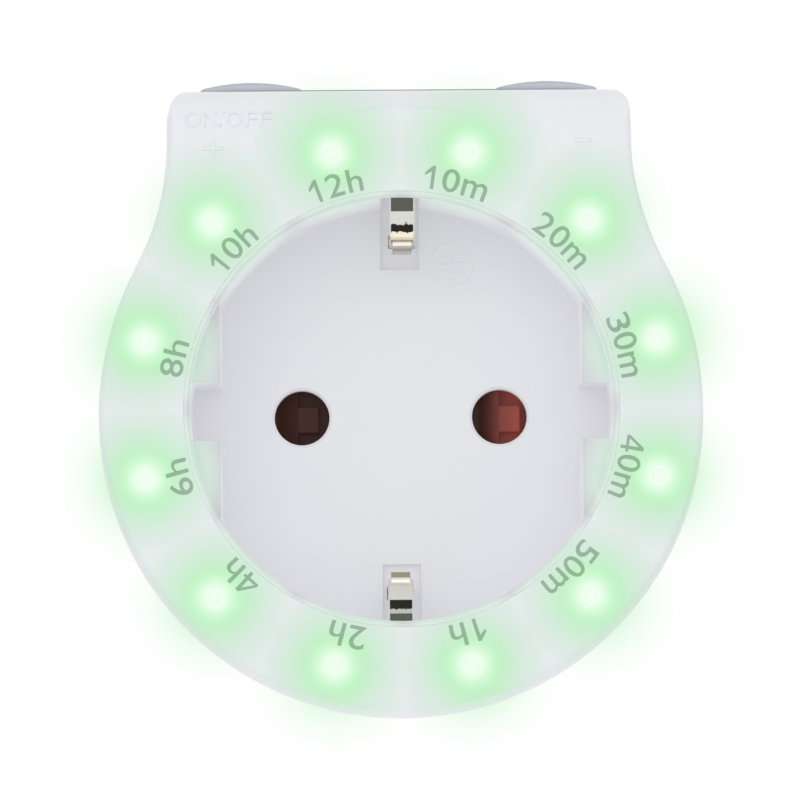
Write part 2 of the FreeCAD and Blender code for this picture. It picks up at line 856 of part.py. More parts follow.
def recess_cutters():
    deep = (front - EXTRA, recess_floor)
    cutters = [
        rod("y", recess_radius, (front - EXTRA, block_front)),
        cone("y", (recess_radius + s.mouth_bevel, recess_radius), (front, front + s.mouth_bevel)),
        common(
            rod("y", recess_radius, deep),
            box(across(flat_half), deep, across(recess_radius)),
        ),
        common(
            rod("y", recess_radius, deep),
            box(across(recess_radius), deep, across(s.notch_height / 2)),
        ),
    ]
    through = (recess_floor - EXTRA, floor_back + EXTRA)
    for side in SIDES:
        place = (side * half_pitch, 0)
        cutters.append(rod("y", s.pin_hole_radius, through, place))
        bevel = (s.pin_hole_radius + 0.25, s.pin_hole_radius)
        cutters.append(cone("y", bevel, (recess_floor, recess_floor + 0.25), place))
        pocket = (front + s.clip_slot_cover, recess_floor + s.clip_slot_sink)
        z = ordered(side * clip_slot_start, side * clip_slot_end)
        cutters.append(box(across(s.clip_slot_width / 2), pocket, z))
        z = ordered(side * (clip_tail_z - 0.3), side * (clip_tail_z + 1.0))
        middle = side * s.clip_shift
        half = s.clip_width / 2 + 0.06
        cutters.append(box((middle - half, middle + half), through, z))
        pilot = (floor_back - 1.9, floor_back + EXTRA)
        place = (side * ear_x, side * s.ear_z)
        cutters.append(rod("y", s.small_screw_radius + s.press_gap, pilot, place))
    return cutters


# Lamps


def lamp_clearances(y):
    """Room round the lamp screws' posts and the clip bosses, for a flat ring at depth y."""
    room = [
        box(across(clip_boss_half + 0.25), y, ordered(side * clip_boss_start, side * (clip_boss_top + 0.25)))
        for side in SIDES
    ]
    return room


def light_guide():
    ring = cut(
        rod("y", guide_outer, (front_inside, guide_back)),
        rod("y", guide_inner, (front_inside, guide_back)),
    )
    pips = []
    for index in range(len(LAMP_LABELS)):
        x, z, _ = lamp_place(index, lamp_circle)
        pips.append(rod("y", s.window_radius, (front, front_inside + 0.2), (x, z)))
    span = (front_inside - 0.1, guide_back + 0.1)
    posts = [
        rod("y", s.lamp_post_radius + 0.2, span, (side * lamp_screw_circle, 0)) for side in SIDES
    ]
    return fuse(cut(ring, *posts, *lamp_clearances(span)), *pips)


def lamp(index):
    """A surface lamp: a flat case with a round lens, turned to face out along its own spoke."""
    half_length = s.lamp_length / 2
    half_width = s.lamp_width / 2
    case = lamp_front + 0.3
    x, z, angle = lamp_place(index, lamp_circle)
    corners = [
        (-half_length, -half_width),
        (half_length, -half_width),
        (half_length, half_width),
        (-half_length, half_width),
    ]
    body = padded(corners, "XZ_Plane", lamp_board_front - case)
    move_to(body, 0, (lamp_board_front + case) / 2, 0)
    whole = fuse(body, rod("y", s.lamp_lens_radius, (lamp_front, case + 0.1)))
    whole.Placement = FreeCAD.Placement(Vector(), FreeCAD.Rotation(Vector(0, 1, 0), angle.number))
    bind(whole, {"Placement.Base.x": x, "Placement.Base.z": z})
    return whole


def lamp_board():
    span = (lamp_board_front, lamp_board_back)
    ring = cut(rod("y", ring_radius - s.wall - s.lamp_board_outer_gap, span), rod("y", insert_radius + s.lamp_board_inner_gap, span))
    room = (span[0] - 0.1, span[1] + 0.1)
    holes = [rod("y", s.small_screw_radius + 0.2, room, (side * lamp_screw_circle, 0)) for side in SIDES]
    return cut(ring, *holes, *lamp_clearances(room))


# Buttons


def button_panel():
    half_width = panel_half
    half_height = s.panel_height / 2
    low = button_y - half_height
    high = button_y + half_height
    plate = box(across(half_width), (low, high), (panel_top - s.panel_thick, panel_top))
    plate = rounded(plate, s.panel_corner, is_along_z)
    skirts = []
    for edge, side in ((low, 1), (high, -1)):
        span = ordered(edge, edge + side * s.panel_skirt)
        half = half_width - s.panel_corner
        skirts.append(box(across(half), span, (head_ceiling - s.panel_flange, panel_top - 0.5)))
        span = ordered(edge + side * s.panel_skirt, edge - side * 0.6)
        skirts.append(box(across(half), span, (head_ceiling - s.panel_flange, head_ceiling)))
    holes = [
        rod(
            "z",
            s.button_radius + s.button_gap,
            (panel_top - s.panel_thick - EXTRA, panel_top + EXTRA),
            (side * button_x, button_y),
        )
        for side in SIDES
    ]
    return cut(fuse(plate, *skirts), *holes)


def button_cap(side):
    """A domed cap with a flange that the panel holds down and a stem that rests on the switch."""
    place = (side * button_x, button_y)
    flange_top = panel_top - s.panel_thick - s.button_stop_gap
    flange_bottom = flange_top - s.button_flange_thick
    barrel = common(
        rod("z", s.button_radius, (flange_bottom, button_apex + EXTRA), place),
        ball(s.dome_radius, place[0], place[1], button_apex - s.dome_radius),
    )
    barrel = rounded(barrel, s.dome_edge, lambda edge: edge.Vertexes[0].Point.z > panel_top.number)
    flange = rod("z", s.button_flange_radius, (flange_bottom, flange_top), place)
    stem = rod("z", s.stem_radius, (stem_bottom, flange_bottom + 0.3), place)
    return fuse(barrel, flange, stem)


def tact_switch(side):
    x = side * tact_x
    half = s.tact_size / 2
    case = box((x - half, x + half), (button_y - half, button_y + half), (button_board_top, tact_top))
    well = rod(
        "z",
        s.plunger_radius + s.plunger_gap,
        (stem_bottom - s.plunger_length - s.button_travel - 0.2, tact_top + EXTRA),
        (x, button_y),
    )
    legs = []
    for along in SIDES:
        for across_side in SIDES:
            leg_y = ordered(button_y + along * half, button_y + along * (half + 0.7))
            middle = x + across_side * 1.3
            height = (button_board_top, button_board_top + 0.2)
            legs.append(box((middle - 0.35, middle + 0.35), leg_y, height))
    return fuse(cut(case, well), *legs)


def tact_plunger(side):
    place = (side * tact_x, button_y)
    return rod("z", s.plunger_radius, (stem_bottom - s.plunger_length, stem_bottom), place)


def button_board():
    low = front + s.button_board_front
    high = low + s.button_board_width
    plate = box(
        across(button_board_half), (low, high), (button_board_bottom, button_board_top)
    )
    notch = box(
        across(clip_boss_half + 0.25),
        (low - EXTRA, floor_back + 0.3),
        (button_board_bottom - EXTRA, button_board_top + EXTRA),
    )
    return cut(plate, notch)


def microcontroller():
    x = (4.3 - tact_x, 8.2 - tact_x)
    top = button_board_top
    middle = button_y - 0.3
    case = box(x, (middle - 4.95, middle + 4.95), (top + 0.1, top + 1.6))
    legs = []
    for row in range(8):
        y = middle + (row - 3.5) * 1.27
        for edge, side in ((x[0], -1), (x[1], 1)):
            foot = ordered(edge, edge + side * 1.05)
            riser = ordered(edge, edge + side * 0.4)
            legs.append(box(foot, (y - 0.2, y + 0.2), (top, top + 0.25)))
            legs.append(box(riser, (y - 0.2, y + 0.2), (top, top + 0.9)))
    return fuse(case, *legs)


def link_pins():
    """The short header that joins the lamp board to the button board."""
    top = button_board_top
    bars = []
    for index in range(4):
        x = 4.6 + index * 1.27
        bars.append(box((x - 0.3, x + 0.3), (lamp_board_back, lamp_board_back + 5), (top, top + 0.6)))
    low = front + s.button_board_front + 1.2
    block = box((3.9, 9.1), (low, low + 1.8), (top + 0.1, top + 1.4))
    return fuse(block, *bars)


def ribbon_cable():
    low = front + s.button_board_front + s.button_board_width - 3.5
    cores = []
    for index in range(5):
        x = 5.5 + index * 1.1
        cores.append(rod("y", 0.6, (low, board_front - 3.8), (x, button_board_top + 0.6)))
    return fuse(*cores)


def ribbon_connector():
    z = button_board_top + 0.6
    shell = box((4.4, 11.0), (board_front - 4.8, board_front), (z - 1.3, z + 1.3))
    mouth = box((4.9, 10.5), (board_front - 4.9, board_front - 3.8), (z - 0.75, z + 0.75))
    return cut(shell, mouth)


# Shutter


def shutter_slider():
    plate_front = shutter_back - s.shutter_plate
    end = half_pitch + s.pin_hole_radius + s.shutter_end_margin
    half_height = s.shutter_height / 2
    window_x = half_pitch - s.shutter_travel
    plate = box((-end, end + 0.1), (plate_front, shutter_back), across(half_height))
    pieces = [plate]
    for side in SIDES:
        block_start = side * half_pitch + (0.0 if side > 0 else -0.4)
        ramp = [
            (block_start - s.shutter_ramp, plate_front + 0.2),
            (block_start, shutter_front),
            (block_start, plate_front + 0.2),
        ]
        pieces.append(padded(ramp, "XY_Plane", s.notch_height - 0.3))
        block = (block_start - 0.02, block_start + s.shutter_block)
        pieces.append(box(block, (shutter_front, plate_front + 0.2), (-1.35, 1.15)))
    window = rod(
        "y", s.pin_hole_radius + 0.05, (shutter_front - EXTRA, shutter_back + EXTRA), (window_x, 0)
    )
    peg = rod("x", 0.5, (end, end + 1.2), (spring_axis()[1], 0))
    return fuse(cut(fuse(*pieces), window), peg)


def spring_axis():
    end = half_pitch + s.pin_hole_radius + s.shutter_end_margin + 0.1
    return end, (shutter_front + shutter_back) / 2 + 0.3


def shutter_spring():
    """A coil spring along X, wound from quarter turns."""
    turns = 4
    quarters = 4 * turns
    start, middle_y = spring_axis()
    wire = s.spring_wire.number
    length = s.spring_room.number - wire
    radius = s.spring_radius.number - wire / 2

    def place(share):
        angle = 2 * math.pi * turns * share
        return Vector(
            start.number + wire / 2 + length * share,
            middle_y.number + radius * math.cos(angle),
            radius * math.sin(angle),
        )

    edges = []
    for index in range(quarters):
        edges.append(
            Part.Arc(
                place(index / quarters), place((index + 0.5) / quarters), place((index + 1) / quarters)
            ).toShape()
        )
    path = Part.Wire(edges)
    along = edges[0].tangentAt(edges[0].FirstParameter)
    ring = Part.Wire(Part.Circle(place(0), along, wire / 2).toShape())
    coil = path.makePipeShell([ring], True, False)
    return from_shape(coil)


def contact_carrier():
    """The block behind the socket floor. Its channel guides the shutter and its wells hold the contacts."""
    half_height = s.carrier_height / 2
    end, _ = spring_axis()
    channel_end = end + s.spring_room
    block = box(across(carrier_half), (floor_back, -s.carrier_back), across(half_height))
    rail = box(
        (carrier_half, channel_end + s.carrier_end_wall), (floor_back, channel_back + 1.2), across(4.4)
    )
    ears = []
    for side in SIDES:
        ears.append(rod("y", s.ear_radius, (floor_back, floor_back + s.ear_thick), (side * ear_x, side * s.ear_z)))
    channel_half = s.shutter_height / 2 + 0.1
    channel = box((-carrier_half - EXTRA, channel_end), (floor_back - EXTRA, channel_back), across(channel_half))
    holes = [channel]
    for side in SIDES:
        x = side * half_pitch
        half = s.contact_width / 2 + 0.15
        wells = (channel_back + s.carrier_front_wall, -s.carrier_back + EXTRA)
        holes.append(box((x - half, x + half), wells, across(4.25)))
        holes.append(rod("y", s.pin_hole_radius + 0.05, (channel_back - EXTRA, wells[0] + EXTRA), (x, 0)))
        place = (side * ear_x, side * s.ear_z)
        holes.append(rod("y", s.small_screw_radius + 0.2, (floor_back - EXTRA, floor_back + 3), place))
    return cut(fuse(block, rail, *ears), *holes)


def socket_contact(side):
    """A folded leaf contact that grips the pin of the plug put into the socket."""
    grip = s.pin_radius + s.contact_grip_gap + s.contact_thick / 2
    wide = grip + 0.45
    back = -s.contact_back - s.contact_thick / 2
    mouth = channel_back + s.carrier_front_wall + 0.3
    pinch = mouth + 2.6
    path = [
        (mouth, grip + s.contact_flare),
        (pinch, grip),
        (back, wide),
        (back, -wide),
        (pinch, -grip),
        (mouth, -grip - s.contact_flare),
    ]
    leaf = move_to(bent_strip(path, 0.7, s.contact_thick, s.contact_width), side * half_pitch, 0, 0)
    if side > 0:
        return leaf
    x = side * half_pitch
    tab = box((x - 0.8, x + 0.8), (-s.contact_back - 0.1, board_back + 0.5), (-3.2, -2.4))
    return fuse(leaf, tab)


# Plug


def plug_pin(side):
    place = (side * half_pitch, 0)
    tip = s.pin_length - s.pin_radius
    return fuse(
        rod("y", s.pin_radius, (-1, tip), place),
        rod("y", s.pin_seat_radius, (-s.nose_wall - 0.5, 0), place),
        ball(s.pin_radius, place[0], tip, 0),
        rod("y", s.pin_collar_radius, (-s.nose_wall - s.pin_collar, -s.nose_wall), place),
        rod("y", s.pin_stub_radius, (-s.pin_stub, -s.nose_wall - 0.5), place),
    )


def pin_retainer():
    half = nose_flat_half - s.wall - 0.1
    back = -s.nose_wall - s.pin_collar
    corners = [(-half, -7), (half, -7), (half, 7), (-half, 7)]
    plate = move_to(padded(corners, "XZ_Plane", s.retainer_thick), 0, back - s.retainer_thick / 2, 0)
    holes = [
        rod(
            "y",
            s.pin_stub_radius + s.press_gap,
            (back - s.retainer_thick - EXTRA, back + EXTRA),
            (side * half_pitch, 0),
        )
        for side in SIDES
    ]
    return cut(plate, *holes)


def inlet_bar(side, end):
    """A strip from a plug pin to the power board or, on the neutral side, to the contact."""
    x = side * half_pitch
    foot_back = -s.bar_foot_depth
    half = s.bar_width / 2
    leg_z = (2.6, as_size(2.6) + s.bar_thick)
    foot = box((x - 2.6, x + 2.6), (foot_back - s.bar_thick, foot_back), (-2.6, leg_z[1]))
    hole = rod(
        "y",
        s.pin_stub_radius + s.press_gap,
        (foot_back - s.bar_thick - EXTRA, foot_back + EXTRA),
        (x, 0),
    )
    leg = box((x - half, x + half), (end, foot_back), leg_z)
    return fuse(cut(foot, hole), leg)


# Earth


def mirrored(feature, side):
    """The same piece above the middle, or turned half round the depth axis to lie below it."""
    if side < 0:
        feature.Placement = FreeCAD.Placement(Vector(), FreeCAD.Rotation(Vector(0, 1, 0), 180))
    return feature


def earth_clip(side):
    """A springy strip rooted behind the socket floor, bowed in to its reach and flared at the mouth."""
    apex = clip_reach + s.clip_thick / 2
    path = [
        (clip_root_y + s.clip_tail, clip_tail_z),
        (recess_floor - 1.2, clip_tail_z),
        (front + s.clip_apex_depth, apex - 0.2),
        (front + s.clip_mouth_depth, clip_mouth),
    ]
    leaf = move_to(bent_strip(path, 1.6, s.clip_thick, s.clip_width), s.clip_shift, 0, 0)
    pad_front = front + s.clip_pad_depth
    pad = box(
        (s.clip_shift - s.clip_pad_width / 2, s.clip_shift + s.clip_pad_width / 2),
        (pad_front, pad_front + s.clip_pad_length),
        (earth_surface - s.clip_pad_bow, clip_reach + 0.2),
    )
    return mirrored(fuse(leaf, pad), side)


def plug_earth_strip(side):
    middle = earth_surface - s.earth_strip_thick / 2
    path = [
        (-s.earth_strip_start, middle - 2.0),
        (-s.earth_strip_start, middle),
        (-s.earth_strip_end, middle),
    ]
    return mirrored(bent_strip(path, 0.45, s.earth_strip_thick, s.earth_strip_width), side)


def earth_strap():
    arm = earth_surface + s.strap_thick / 2
    back = -s.carrier_back + 0.2 + s.strap_thick / 2
    path = [(clip_root_y, arm), (back, arm), (back, -arm), (clip_root_y, -arm)]
    return bent_strip(path, 1.2, s.strap_thick, s.strap_width)


# Power board and what stands on it. Each lead goes through its own hole at the same place.

relay_left = 3.9 - half_head
relay_top = head_top - 8.3
film_left = 5.4 - board_edge
film_low = 10.8 - board_edge
can_z = 12.4 - board_edge
fuse_z = head_top - 12.4
varistor_z = fuse_z - 7.3
bridge_low = 3.2 - board_edge
dropper_z = 14.2 - board_edge
driver_z = 4.2 - board_edge

LEADS = {
    "relay": [
        (relay_left + 2.0, 9.0),
        (-5.1, 9.0),
        (relay_left + 2.0, relay_top - 2.0),
        (-5.1, relay_top - 2.0),
        (-10.7, relay_top - 2.0),
    ],
    "film_capacitor": [(film_left + 1.9, film_low + 3.7), (film_left + 14.9, film_low + 3.7)],
    "electrolytic_capacitor": [(s.can_x - 2.5, can_z), (s.can_x + 2.5, can_z)],
    "varistor": [(11.9, varistor_z), (16.9, varistor_z)],
    "fuse": [(6.1, fuse_z), (11.1, fuse_z)],
    "bridge_rectifier": [
        (x, bridge_low + rise) for rise in (3.8, 1.0) for x in (-10.3, -5.3)
    ],
    "dropper_resistor": [(dropper_x, dropper_z - 5.6), (dropper_x, dropper_z + 5.6)],
    "driver_transistor": [(8.13, driver_z), (9.4, driver_z), (10.67, driver_z)],
}


def leads(name, depth):
    """The round leads of one component, from inside it to behind the board."""
    span = (board_front - depth, board_back + s.lead_length)
    return [rod("y", s.lead_radius, span, place) for place in LEADS[name]]


def power_board():
    span = (board_front, board_back)
    room = (board_front - EXTRA, board_back + EXTRA)
    plate = fuse(
        rod("y", board_edge, span),
        box(across(half_head - s.wall - s.board_edge_gap), span, (0, head_top - s.wall - s.board_edge_gap)),
    )
    holes = []
    for side in SIDES:
        holes.append(rod("y", 3.4, room, (side * housing_screw_x, housing_screw_z)))
        holes.append(rod("y", s.small_screw_radius + 0.2, room, (side * board_screw_x, s.board_screw_z)))
        x = ordered(side * (rib_start - 0.3), side * s.body_radius)
        holes.append(box(x, room, across(s.rib_thick / 2 + 0.25)))
        z = ordered(side * (groove_floor - 0.2), side * (earth_surface + 0.2))
        holes.append(box(across(s.earth_strip_width / 2 + 0.3), room, z))
        x = side * half_pitch
        half = s.bar_width / 2 + 0.2
        holes.append(box((x - half, x + half), room, (2.4, as_size(2.8) + s.bar_thick)))
    x = -half_pitch
    holes.append(box((x - 1, x + 1), room, (-3.4, -2.2)))
    for places in LEADS.values():
        holes += [rod("y", s.lead_radius + s.lead_gap, room, place) for place in places]
    return cut(plate, *holes)


def relay():
    top = floor_back + s.relay_gap
    block = box((relay_left, -3.1), (top, board_front - 0.3), (7.0, relay_top))
    block = rounded(block, 0.5, is_upper_edge(top.number))
    pads = [
        box((x, x + 1.2), (board_front - 0.4, board_front), (z, z + 1.2))
        for x in (relay_left, as_size(-4.3))
        for z in (as_size(7.0), relay_top - 1.2)
    ]
    return fuse(block, *pads, *leads("relay", 0.5))


def is_upper_edge(top):
    """Picks the edges that touch a block's outer face, and its uprights."""

    def chosen(edge):
        return min(vertex.Point.y for vertex in edge.Vertexes) < top + 0.001

    return chosen


def film_capacitor():
    top = floor_back + s.film_gap
    block = box((film_left, film_left + 16.8), (top, board_front), (film_low, film_low + 7.4))
    block = rounded(block, 0.4, is_upper_edge(top.number))
    return fuse(block, *leads("film_capacitor", 0.5))


def electrolytic_capacitor():
    radius = s.can_radius
    height = board_room - s.can_gap
    profile = [
        (0, 0),
        (radius, 0),
        (radius, 1.2),
        (radius - 0.3, 1.5),
        (radius - 0.3, 1.9),
        (radius, 2.2),
        (radius, height - 0.3),
        (radius - 0.3, height),
        (0, height),
    ]
    can = turned(profile, "XY_Plane", "V_Axis")
    can.Placement = FreeCAD.Placement(Vector(), FreeCAD.Rotation(Vector(0, 0, 1), 180))
    move_to(can, s.can_x, board_front, can_z)
    return fuse(can, *leads("electrolytic_capacitor", 0.5))


def varistor():
    disc = rod("z", 5.0, (varistor_z - 2, varistor_z + 2), (14.4, board_front - 6.5))
    disc = rounded(disc, 1.2, lambda edge: edge.Curve.TypeId == "Part::GeomCircle")
    return fuse(disc, *leads("varistor", 3.2))


def fuse_link():
    can = rod("y", 4.2, (board_front - 8.0, board_front), (8.6, fuse_z))
    can = rounded(can, 0.5, lambda edge: edge.Vertexes[0].Point.y < board_front.number - 7)
    return fuse(can, *leads("fuse", 0.5))


def bridge_rectifier():
    block = box((-12.0, -3.6), (board_front - 3.6, board_front - 0.4), (bridge_low, bridge_low + 4.7))
    return fuse(block, *leads("bridge_rectifier", 0.8))


def dropper_resistor():
    y = board_front - 1.9
    profile = [(0, -4), (1.3, -4), (1.6, -3.6), (1.6, -2.4), (1.35, -2.0)]
    profile += [(u, -v) for u, v in reversed(profile[1:])] + [(0, 4)]
    case = move_to(turned(profile, "XZ_Plane", "V_Axis"), dropper_x, y, dropper_z)
    (x, low), (_, high) = LEADS["dropper_resistor"]
    bent = [rod("z", s.lead_radius, (low, high), (x, y))]
    bent += [ball(s.lead_radius, x, y, z) for z in (low, high)]
    return fuse(case, *bent, *leads("dropper_resistor", 1.9))


def driver_transistor():
    place = (as_size(9.4), driver_z)
    low = board_front - 6.2
    case = cut(
        rod("y", 2.3, (low, board_front - 1.6), place),
        box((place[0] - 3, place[0] + 3), (low - 0.1, board_front), (place[1] + 1.3, place[1] + 3)),
    )
    return fuse(case, *leads("driver_transistor", 1.8))


# Screws


def screw(place, head, head_height, shank, span_end):
    """A pan-head screw driven towards -Y: head is (radius, its bearing face), shank its radius."""
    head_radius, bearing = head
    top = bearing + head_height
    slot = head_radius * 1.1
    bar = head_radius * 0.22
    cross = [
        box((place[0] - slot / 2, place[0] + slot / 2), (top - 0.5, top + 1), (place[1] - bar / 2, place[1] + bar / 2)),
        box((place[0] - bar / 2, place[0] + bar / 2), (top - 0.5, top + 1), (place[1] - slot / 2, place[1] + slot / 2)),
    ]
    body = fuse(
        rod("y", head_radius, (bearing, top), place),
        rod("y", shank, (span_end, bearing + 0.1), place),
    )
    return cut(body, *cross)


def housing_screws():
    bearing = shoulder - 4
    return group(
        *[
            screw(
                (side * housing_screw_x, housing_screw_z),
                (s.housing_head_radius, bearing),
                1.6,
                s.housing_screw_radius,
                seam - s.housing_screw_bite,
            )
            for side in SIDES
        ]
    )


def lamp_board_screws():
    return group(
        *[
            screw(
                (side * lamp_screw_circle, as_size(0)),
                (s.small_head_radius, lamp_board_back),
                s.small_head_height,
                s.small_screw_radius,
                lamp_board_front - 2.8,
            )
            for side in SIDES
        ]
    )


def carrier_screws():
    bearing = floor_back + s.ear_thick
    return group(
        *[
            screw(
                (side * ear_x, side * s.ear_z),
                (s.small_head_radius, bearing),
                s.small_head_height,
                s.small_screw_radius,
                floor_back - 1.6,
            )
            for side in SIDES
        ]
    )


def power_board_screws():
    """These are driven the other way, from the front of the board into the pads behind it."""
    screws = []
    for side in SIDES:
        place = (side * board_screw_x, s.board_screw_z)
        screws.append(
            fuse(
                rod("y", s.small_head_radius, (board_front - s.small_head_height, board_front), place),
                rod("y", s.small_screw_radius, (board_front - 0.1, board_back + 2.2), place),
            )
        )
    return group(*screws)


def build():
    sub_part("front_cover", front_cover())
    sub_part("rear_housing", rear_housing())
    sub_part("socket_insert", socket_insert())
    sub_part("light_guide", light_guide())
    for index, label in enumerate(LAMP_LABELS):
        sub_part(f"led_{label}", lamp(index))
    sub_part("led_board", lamp_board())
    sub_part("button_panel", button_panel())
    sub_part("on_off_button", button_cap(-1))
    sub_part("minus_button", button_cap(1))
    sub_part("tact_switch_left", tact_switch(-1))
    sub_part("tact_switch_right", tact_switch(1))
    sub_part("tact_plunger_left", tact_plunger(-1))
    sub_part("tact_plunger_right", tact_plunger(1))
    sub_part("button_board", button_board())
    sub_part("microcontroller", microcontroller())
    sub_part("link_pins", link_pins())
    sub_part("ribbon_cable", ribbon_cable())
    sub_part("ribbon_connector", ribbon_connector())
    sub_part("shutter_slider", shutter_slider())
    sub_part("shutter_spring", shutter_spring())
    sub_part("contact_carrier", contact_carrier())
    sub_part("line_contact", socket_contact(-1))
    sub_part("neutral_contact", socket_contact(1))
    sub_part("plug_pin_line", plug_pin(-1))
    sub_part("plug_pin_neutral", plug_pin(1))
    sub_part("pin_retainer", pin_retainer())
    sub_part("line_inlet_bar", inlet_bar(-1, board_front + 0.2))
    sub_part("neutral_bar", inlet_bar(1, -s.contact_back))
    sub_part("earth_clip_top", earth_clip(1))
    sub_part("earth_clip_bottom", earth_clip(-1))
    sub_part("plug_earth_strip_top", plug_earth_strip(1))
    sub_part("plug_earth_strip_bottom", plug_earth_strip(-1))
    sub_part("earth_strap", earth_strap())
    sub_part("power_board", power_board())
    sub_part("relay", relay())
    sub_part("film_capacitor", film_capacitor())
    sub_part("electrolytic_capacitor", electrolytic_capacitor())
    sub_part("varistor", varistor())
    sub_part("fuse", fuse_link())
    sub_part("bridge_rectifier", bridge_rectifier())
    sub_part("dropper_resistor", dropper_resistor())
    sub_part("driver_transistor", driver_transistor())
    sub_part("housing_screws", housing_screws())
    sub_part("led_board_screws", lamp_board_screws())
    sub_part("carrier_screws", carrier_screws())
    sub_part("power_board_screws", power_board_screws())


def check():
    """Stops if any object failed or any sub-part has no valid shape."""
    for item in DOC.Objects:
        if "Invalid" in item.State or "Error" in item.State:
            raise RuntimeError(f"{item.Name} ({item.Label}) did not build: {item.State}")
    for label, feature in PARTS.items():
        shape = feature.Shape
        if shape.isNull() or not shape.isValid() or not shape.Solids:
            raise RuntimeError(f"{label} has no valid solid")


def export():
    os.makedirs("parts", exist_ok=True)
    for label, feature in PARTS.items():
        feature.Shape.exportStep(f"parts/{label}.step")


build()
DOC.recompute()
check()
export()
for label, feature in PARTS.items():
    box_now = feature.Shape.BoundBox
    print(
        f"{label:26s} solids {len(feature.Shape.Solids)} volume {feature.Shape.Volume:9.1f} "
        f"x {box_now.XMin:7.2f} {box_now.XMax:7.2f} y {box_now.YMin:7.2f} {box_now.YMax:7.2f} "
        f"z {box_now.ZMin:7.2f} {box_now.ZMax:7.2f}"
    )
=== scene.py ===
"""Looks of the plug-in timer switch: materials, printed and raised marks, light and camera."""

import json
import math

import bpy
from mathutils import Matrix, Vector


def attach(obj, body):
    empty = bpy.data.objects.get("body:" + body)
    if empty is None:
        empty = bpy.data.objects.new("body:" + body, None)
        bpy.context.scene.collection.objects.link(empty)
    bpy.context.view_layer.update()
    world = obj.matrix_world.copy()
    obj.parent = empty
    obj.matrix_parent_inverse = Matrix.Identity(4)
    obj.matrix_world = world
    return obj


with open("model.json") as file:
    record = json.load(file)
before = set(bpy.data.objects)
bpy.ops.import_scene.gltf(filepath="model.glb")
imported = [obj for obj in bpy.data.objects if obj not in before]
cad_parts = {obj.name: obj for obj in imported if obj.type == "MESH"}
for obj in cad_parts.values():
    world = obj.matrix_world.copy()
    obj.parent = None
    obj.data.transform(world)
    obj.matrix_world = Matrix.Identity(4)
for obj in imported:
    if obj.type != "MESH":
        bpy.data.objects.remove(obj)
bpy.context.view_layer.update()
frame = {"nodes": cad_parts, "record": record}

# Lengths are in metres, in the part's own frame: X right, Z up, the front faces -Y.
# Shaders and the stops of their colours work in millimetres.
MM = 0.001
FRONT = -60.0 * MM
FLOOR = -42.5 * MM  # the floor of the recess
HEAD_ROLL = 3.5 * MM
HEAD_TOP = 30.3 * MM
LAMP_CIRCLE = 25.0  # millimetres from the middle to each lamp
LAMP_FIRST = 15.0  # degrees from the top to the first lamp
LAMP_STEP = 30.0
LAMP_LABELS = ["10m", "20m", "30m", "40m", "50m", "1h", "2h", "4h", "6h", "8h", "10h", "12h"]

# Camera: the photograph's place, a little below the middle and to the left of it
IMAGE_SIZE = 800
PIXELS_PER_MM = 10.62
FOCUS_DISTANCE = 795.0 * MM
CAMERA_AIM = Vector((-0.16 * MM, FRONT, 0.8 * MM))
SENSOR_WIDTH = 36.0
CAMERA_RISE = math.radians(2.8)
CAMERA_SWING = math.radians(0.31)
CAMERA_ROLL = math.radians(-0.42)


def camera_direction():
    """The way the camera looks."""
    return Vector(
        (
            math.sin(CAMERA_SWING) * math.cos(CAMERA_RISE),
            math.cos(CAMERA_SWING) * math.cos(CAMERA_RISE),
            math.sin(CAMERA_RISE),
        )
    )


CAMERA_PLACE = CAMERA_AIM - camera_direction() * FOCUS_DISTANCE


# Small language for shader arithmetic


class Value:
    """A number in a node tree. The usual signs build Math nodes."""

    def __init__(self, tree, source):
        self.tree = tree
        self.source = source

    def math(self, operation, *others):
        """The result of an operation on this number and others."""
        node = self.tree.nodes.new("ShaderNodeMath")
        node.operation = operation
        for index, item in enumerate((self,) + others):
            if isinstance(item, Value):
                self.tree.links.new(item.source, node.inputs[index])
            else:
                node.inputs[index].default_value = item
        return Value(self.tree, node.outputs[0])

    def __add__(self, other):
        return self.math("ADD", other)

    def __sub__(self, other):
        return self.math("SUBTRACT", other)

    def __mul__(self, other):
        return self.math("MULTIPLY", other)

    def __truediv__(self, other):
        return self.math("DIVIDE", other)


